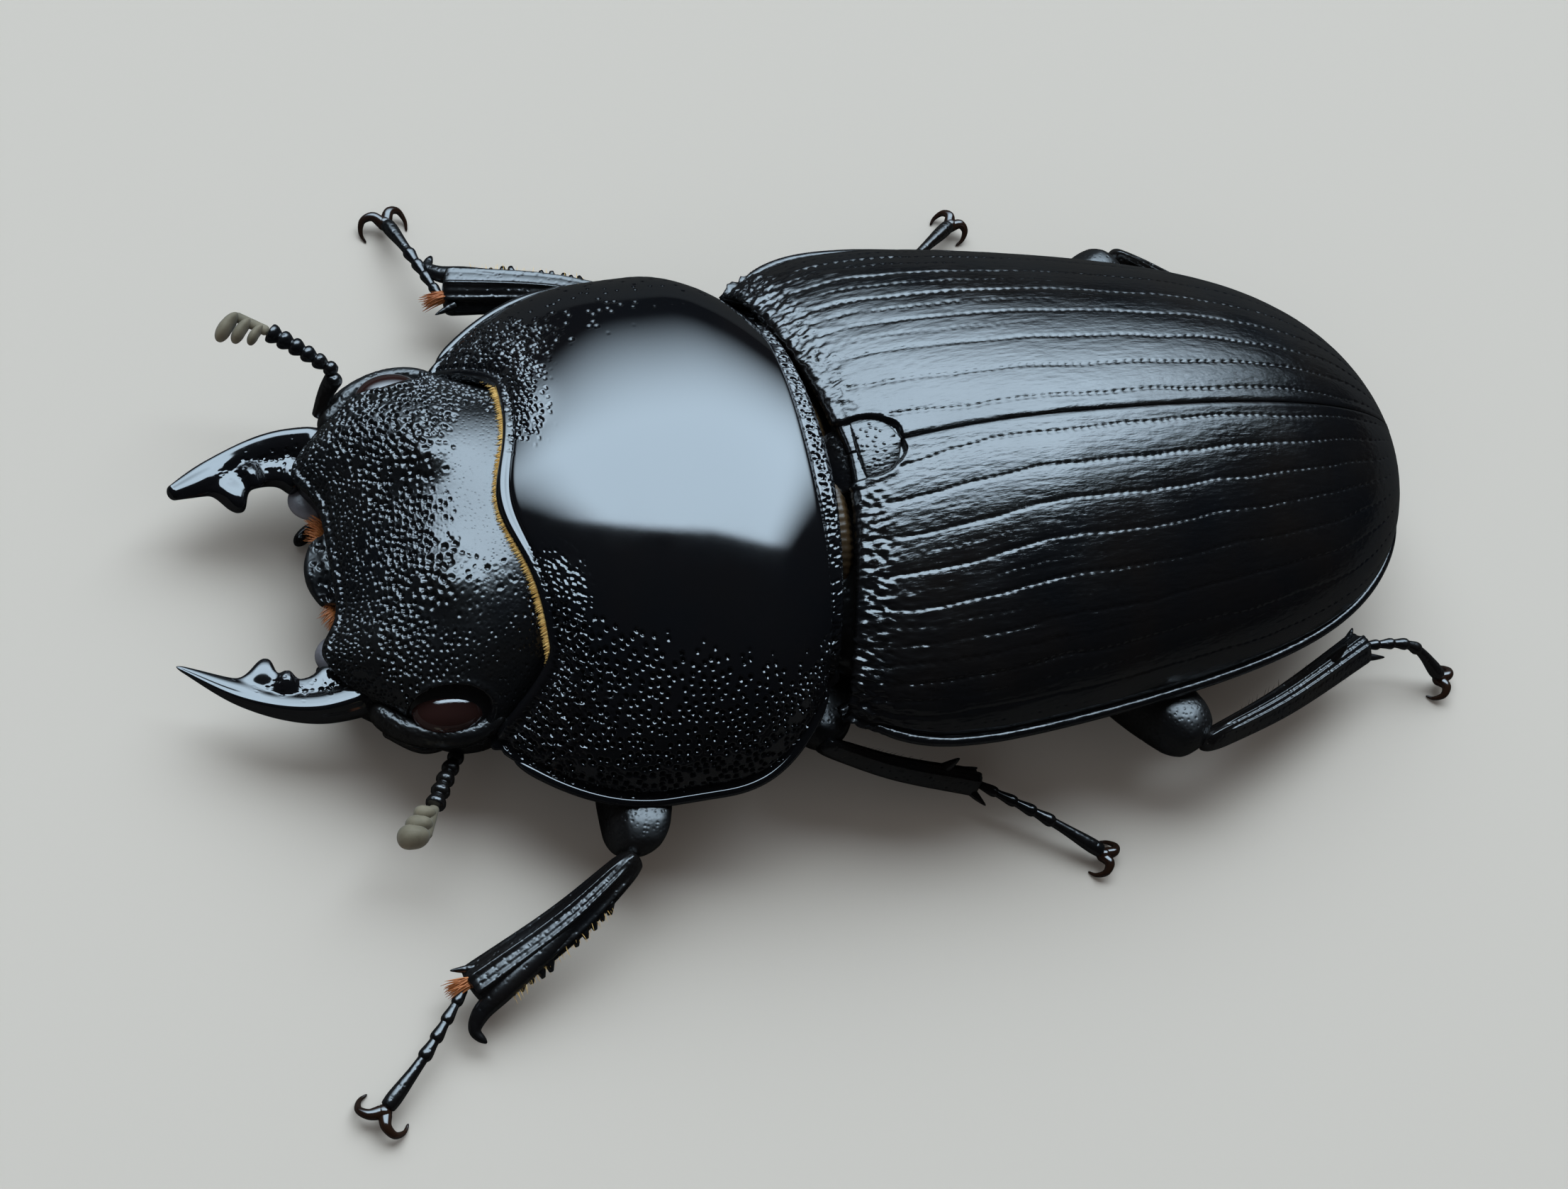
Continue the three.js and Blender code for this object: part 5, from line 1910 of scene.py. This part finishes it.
# %% Leg measures
PAIRS = {
    "front": {"thigh": (1.3, 0.78), "shin": (0.78, 0.42), "digs": True},
    "middle": {"thigh": (1.05, 0.85), "shin": (0.46, 0.46), "digs": False},
    "hind": {"thigh": (1.25, 1.0), "shin": (0.58, 0.5), "digs": False},
}
LEGS = {
    "front_left": {
        "hip": (2.6, -4.9, 1.8), "knee": (9.78, -6.53, 2.83), "ankle": (12.4, -11.8, 0.95),
        "foot": [(13.9, -13.45, 0.8), (15.05, -14.7, 0.5)],
    },
    "front_right": {
        "hip": (-2.9, -4.6, 1.9), "knee": (-8.35, -2.4, 3.2), "ankle": (-10.35, -7.7, 1.6),
        "foot": [(-12.3, -8.35, 1.1), (-13.45, -8.6, 0.55)],
        "thigh": (1.3, 0.82), "roll": (0.4, -0.5, 0.77),
    },
    "middle_left": {
        "hip": (2.4, 2.1, 1.6), "knee": (7.45, -0.35, 3.4), "ankle": (8.65, 5.1, 1.2),
        "foot": [(10.1, 7.1, 1.0), (11.2, 8.6, 0.55)],
    },
    "middle_right": {
        "hip": (-2.4, 2.1, 1.6), "knee": (-6.9, 1.2, 3.2), "ankle": (-8.5, 6.6, 1.2),
        "foot": [(-10.2, 8.7, 1.0), (-11.45, 10.35, 0.55)],
    },
    "hind_left": {
        "hip": (3.0, 8.9, 1.4), "knee": (9.3, 11.9, 3.2), "ankle": (6.35, 19.3, 1.9),
        "foot": [(6.55, 21.1, 1.7), (7.2, 22.2, 0.6)],
    },
    "hind_right": {
        "hip": (-3.0, 8.9, 1.4), "knee": (-8.25, 14.4, 3.3), "ankle": (-4.3, 21.0, 1.2),
        "foot": [(-3.3, 22.3, 1.0), (-1.8, 23.1, 0.5)],
    },
}
HIP_RADII = (1.45, 1.05, 0.95)
THIGH_ROLL = (0, -0.6, 0.8)
SHIN_ROLL = (0, -0.15, 0.98)
DIGGING_TEETH = 12
print("legs:", list(LEGS))


def outward_of(start_point, end_point, side):
    """Level direction square to a limb, towards the outer edge of the leg."""
    forward = unit((end_point - start_point) * [1, 1, 0])
    return np.array([-forward[1], forward[0], 0]) * side * (1 if forward[1] < 0 else -1)


# %% Thighs
def thigh_section(half_width, half_height):
    def section(share, angle):
        belly = 0.72 + 0.28 * np.sin(math.pi * clamp(share * 0.95 + 0.05))
        fill = belly * (0.3 + 0.7 * ended(share, 0.15, 0.16)) * ended(share, 0.03, 0.05)
        roof = (np.abs(np.cos(angle)) ** 1.6 + np.abs(np.sin(angle)) ** 1.6) ** (-1 / 1.6)
        return half_width * fill * roof, half_height * fill * roof * 1.05
    return section


def thigh_mark(share, angle):
    return 0.6 * smooth(share, 0.1, 0.3) * smooth(1 - share, 0.05, 0.2)


# %% Shins
SHIN_RIDGES = (0.45, 1.25, 2.0)
print("ribs on a shin:", len(SHIN_RIDGES))


def shin_section(half_width, half_height, ridge, narrow, growth):
    """Roof-shaped and ridged: three sharp ribs run down its upper side to the ankle."""
    def section(share, angle):
        ends = (0.6 + 0.4 * ended(share, 0.12, 0.05)) * ended(share, 0.03, 0.02)
        width = half_width * (narrow + (1 - narrow) * share ** growth) * ends
        height = half_height * (0.95 + 0.05 * share) * ends
        ribs = sum(hill(angle_from(angle, place), 0.13) for place in SHIN_RIDGES)
        above = smooth(np.sin(angle), 0.0, 0.3)
        factor = 1 + ridge * (1.6 * ribs - 0.8 * above) * smooth(share, 0.04, 0.2)
        roof = np.abs(np.cos(angle)) ** 1.4 + np.abs(np.sin(angle)) ** 1.4
        factor = factor * roof ** (-1 / 1.4)
        return width * factor, height * factor * 1.15
    return section


def shin_mark(share, angle):
    """Pits lie in the furrows between the ribs."""
    ribs = sum(hill(angle_from(angle, place), 0.2) for place in SHIN_RIDGES)
    furrow = 0.45 * clamp(1 - ribs) * smooth(1.35 - angle_from(angle, 0.75), 0.0, 0.3)
    return furrow * smooth(share, 0.03, 0.12) * smooth(1 - share, 0.02, 0.1)


# %% Spikes, and the parts of a shin
def spike(name, spots, radius, tip=0.15, start=0.02):
    """A curved spike, thick at its root."""
    def section(share, angle):
        fill = radius * (1 - (1 - tip) * share ** 1.3) * ended(share, start, 0.1)
        return fill, fill * 0.9
    return limb(name, spots, section, rows=60, sides=28)


def shin_parts(leg, side):
    """The shin itself with its hook or thorn and its spurs, and the lines bristles stand on."""
    knee, ankle = leg["knee"], leg["ankle"]
    half_width, half_height = leg["shin"]
    out = outward_of(knee, ankle, side)
    forward = unit(ankle - knee)
    bow = knee + (ankle - knee) * 0.45 + out * 0.18

    def at(share, outwards, rise=0.0):
        return knee + (ankle - knee) * share + out * outwards + np.array([0, 0, rise])

    ridge, narrow, growth = (0.13, 0.45, 0.6) if leg["digs"] else (0.09, 0.62, 0.8)
    tube = limb(
        "tube", [knee, bow, ankle], shin_section(half_width, half_height, ridge, narrow, growth),
        rows=190, sides=140, up=leg.get("roll", SHIN_ROLL), mark=shin_mark,
    )
    tube = pitted(
        "pitted_tube", tube, limb_shell, Spacing=0.12, Density=60.0, Radius=0.06, Depth=0.03,
        Lip=0.003, Wobble=0.05, Seed=9,
    )
    parts = [tube]
    if leg["digs"]:
        hook = [
            at(0.2, 0.2, 0.0), at(0.6, 0.42, 0.08), at(0.9, 0.55, 0.1), at(1.04, 0.66, 0.02),
            at(1.1, 0.92, -0.04), at(1.09, 1.4, -0.12),
        ]
        parts.append(spike("hook", hook, 0.44, tip=0.22, start=0.4))
    else:
        thorn = [at(0.74, 0, 0.1), at(0.79, -0.06, 0.7), at(0.82, -0.1, 1.15)]
        parts.append(spike("thorn", thorn, 0.2))
        parts.append(spike("outer_spur", [at(0.93, 0.2), at(1.0, 0.5), at(1.05, 0.7)], 0.17))
    inner_root = ankle - out * half_width * 0.6 - forward * 0.5
    inner_tip = ankle - out * half_width * 1.15 + forward * 0.1
    parts.append(spike("inner_spur", [inner_root, (inner_root + inner_tip) / 2, inner_tip], 0.16))
    shares = np.linspace(0.25, 0.85, 11)
    edge = half_width * (narrow + (1 - narrow) * shares ** growth)
    tooth_line = np.array([at(share, reach * 0.94) for share, reach in zip(shares, edge)])
    inner_line = np.array([at(share, reach * -0.45) for share, reach in zip(shares, edge)])
    return parts, tooth_line, inner_line, out, forward


# %% Claws
CLAW_RADIUS = 0.16
print("claw thickness at its root in mm:", 2 * CLAW_RADIUS * 1.25)


def claw_pair(name, root, end_point, size):
    """Two hooks on a small knob, standing on the floor."""
    forward = unit((end_point - root) * [1, 1, 0])
    sideways = np.array([-forward[1], forward[0], 0])

    def at(ahead, beside, height):
        spot = end_point + forward * (0.3 + (ahead - 0.3) * size) + sideways * beside * size
        return np.array([spot[0], spot[1], height])

    def section(share, angle):
        fill = CLAW_RADIUS * (1.25 - 1.05 * share ** 0.8) * ended(share, 0.05, 0.05)
        return fill, fill * 1.1

    parts = [egg("knob", at(0.32, 0, 0.42), (0.24, 0.24, 0.24), sides=24, rings=16)]
    for side in (1, -1):
        hook = [
            at(0.34, 0.05 * side, 0.42), at(0.64, 0.3 * side, 0.5), at(0.66, 0.62 * side, 0.36),
            at(0.36, 0.78 * side, 0.14), at(0.04, 0.72 * side, 0.03),
        ]
        parts.append(limb("hook", hook, section, rows=44, sides=20, up=-forward))
    return joined(name, *parts)


# %% [markdown]
# ## Putting each leg together
#
# One function could build a whole leg, but it would be long. Each part has its own: the
# hip and thigh, the shin with its teeth, the foot with its claws. Rows of bristles are
# only gathered here, and grown together at the end, one piece for each kind of hair.


# %% Hip and thigh
def build_thigh(name, leg):
    hip, knee = leg["hip"], leg["knee"]
    keep(egg(f"hip_{name}", hip, HIP_RADII), GROUND, limb_shell, f"leg_{name}_coxa")
    thigh = limb(
        "thigh", [hip + unit(knee - hip) * 1.4, hip + (knee - hip) * 0.6, knee],
        thigh_section(*leg["thigh"]), rows=130, sides=120, up=THIGH_ROLL, mark=thigh_mark,
    )
    thigh = pitted(
        f"thigh_{name}", thigh, thigh_shell, Spacing=0.2, Density=24.0, Radius=0.085,
        Depth=0.035, Lip=0.004, Wobble=0.06, Seed=8,
    )
    keep(thigh, GROUND, thigh_shell, f"leg_{name}_femur")


# %% Shin, teeth and rows of bristles
gold_rows = []
rust_rows = []
dark_rows = []


def build_shin(name, leg, side):
    """Keeps a shin, notes where its bristles stand, and gives its outward direction."""
    parts, tooth_line, inner_line, out, forward = shin_parts(leg, side)
    stations = (len(tooth_line), 1)
    if leg["digs"]:
        lean_out = np.tile(out + forward * 0.25, stations)
        teeth = bristles(
            "teeth", (tooth_line, lean_out), Count=DIGGING_TEETH, Sides=12, Length=0.26,
            Thickness=0.16, Tip=0.3, Curl=0.25, Spread=0.35, Unevenness=0.5, Seed=3,
            Finish=limb_shell,
        )
        parts.append(face_outwards(teeth, close=False))
        gold_rows.append((tooth_line + [0, 0, 0.08], lean_out))
        gold_rows.append((tooth_line - [0, 0, 0.12], lean_out))
        tuft = leg["ankle"] - out * 0.38 - forward * 0.15
        for n in range(5):
            low = tuft + out * 0.06 * n
            high = tuft + out * (0.06 * n + 0.05) + [0, 0, 0.25]
            lean_on = np.tile(forward - out * 0.35 + [0, 0, 0.1], (2, 1))
            rust_rows.append((np.array([low, high]), lean_on))
    else:
        dark_rows.append((tooth_line - out * 0.1, np.tile(out * 0.8 + forward, stations)))
        dark_rows.append((inner_line, np.tile(forward - out * 0.8, stations)))
    keep(joined(f"shin_{name}", *parts), GROUND, limb_shell, f"leg_{name}_tibia")
    return out


# %% Foot and claws
TARSUS = {
    "Joints": 5, "Radius": 0.165, "Waist": 0.72, "Skew": 2.6, "Last_Share": 0.42, "Widening": 0.5,
}


def build_foot(name, leg, out):
    ankle, (instep, toe) = leg["ankle"], leg["foot"]
    heel = ankle + (instep - ankle) * 0.02 - out * (0.25 if leg["digs"] else 0)
    onward = unit((toe - instep) * [1, 1, 0]) * 0.25
    toes = stalk(
        f"toes_{name}", [heel, instep, toe + onward], steps=200, Finish=limb_shell, **TARSUS,
    )
    keep(toes, GROUND, limb_shell, f"leg_{name}_tarsus")
    hooks = claw_pair(f"hooks_{name}", instep, toe, 1.0 if leg["digs"] else 0.78)
    keep(hooks, GROUND, claw_shell, f"leg_{name}_claws")


# %% Building all six legs
for name, measures in LEGS.items():
    places = {key: np.array(measures[key]) for key in ("hip", "knee", "ankle", "foot")}
    leg = {**PAIRS[name.split("_")[0]], **measures, **places}
    side = 1 if name.endswith("left") else -1
    build_thigh(name, leg)
    build_foot(name, leg, build_shin(name, leg, side))

# %% Leg bristles
keep_bristles(
    "gold_shin_bristles", GROUND, golden_hair, gold_rows, Count=42, Length=0.34,
    Thickness=0.016, Spread=0.3, Unevenness=0.35, Seed=11,
)
keep_bristles(
    "rust_ankle_tufts", GROUND, rust_hair, rust_rows, Count=18, Length=0.68,
    Thickness=0.035, Spread=0.26, Unevenness=0.3, Seed=12,
)
keep_bristles(
    "dark_shin_bristles", GROUND, dark_hair, dark_rows, Count=26, Length=0.3,
    Thickness=0.016, Spread=0.2, Unevenness=0.3, Seed=13,
)

# %% [markdown]
# ## Finishing
#
# The size of the whole animal is measured before and after dressing, and the pieces and
# their triangles are counted.

# %% Sizes and counts
bpy.context.view_layer.update()
visual_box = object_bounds()
sizes = {
    "cad": [list(corner) for corner in cad_box],
    "visual": [list(corner) for corner in visual_box],
}
print("pieces:", len(made), "triangles:", sum(count for _, count in made))
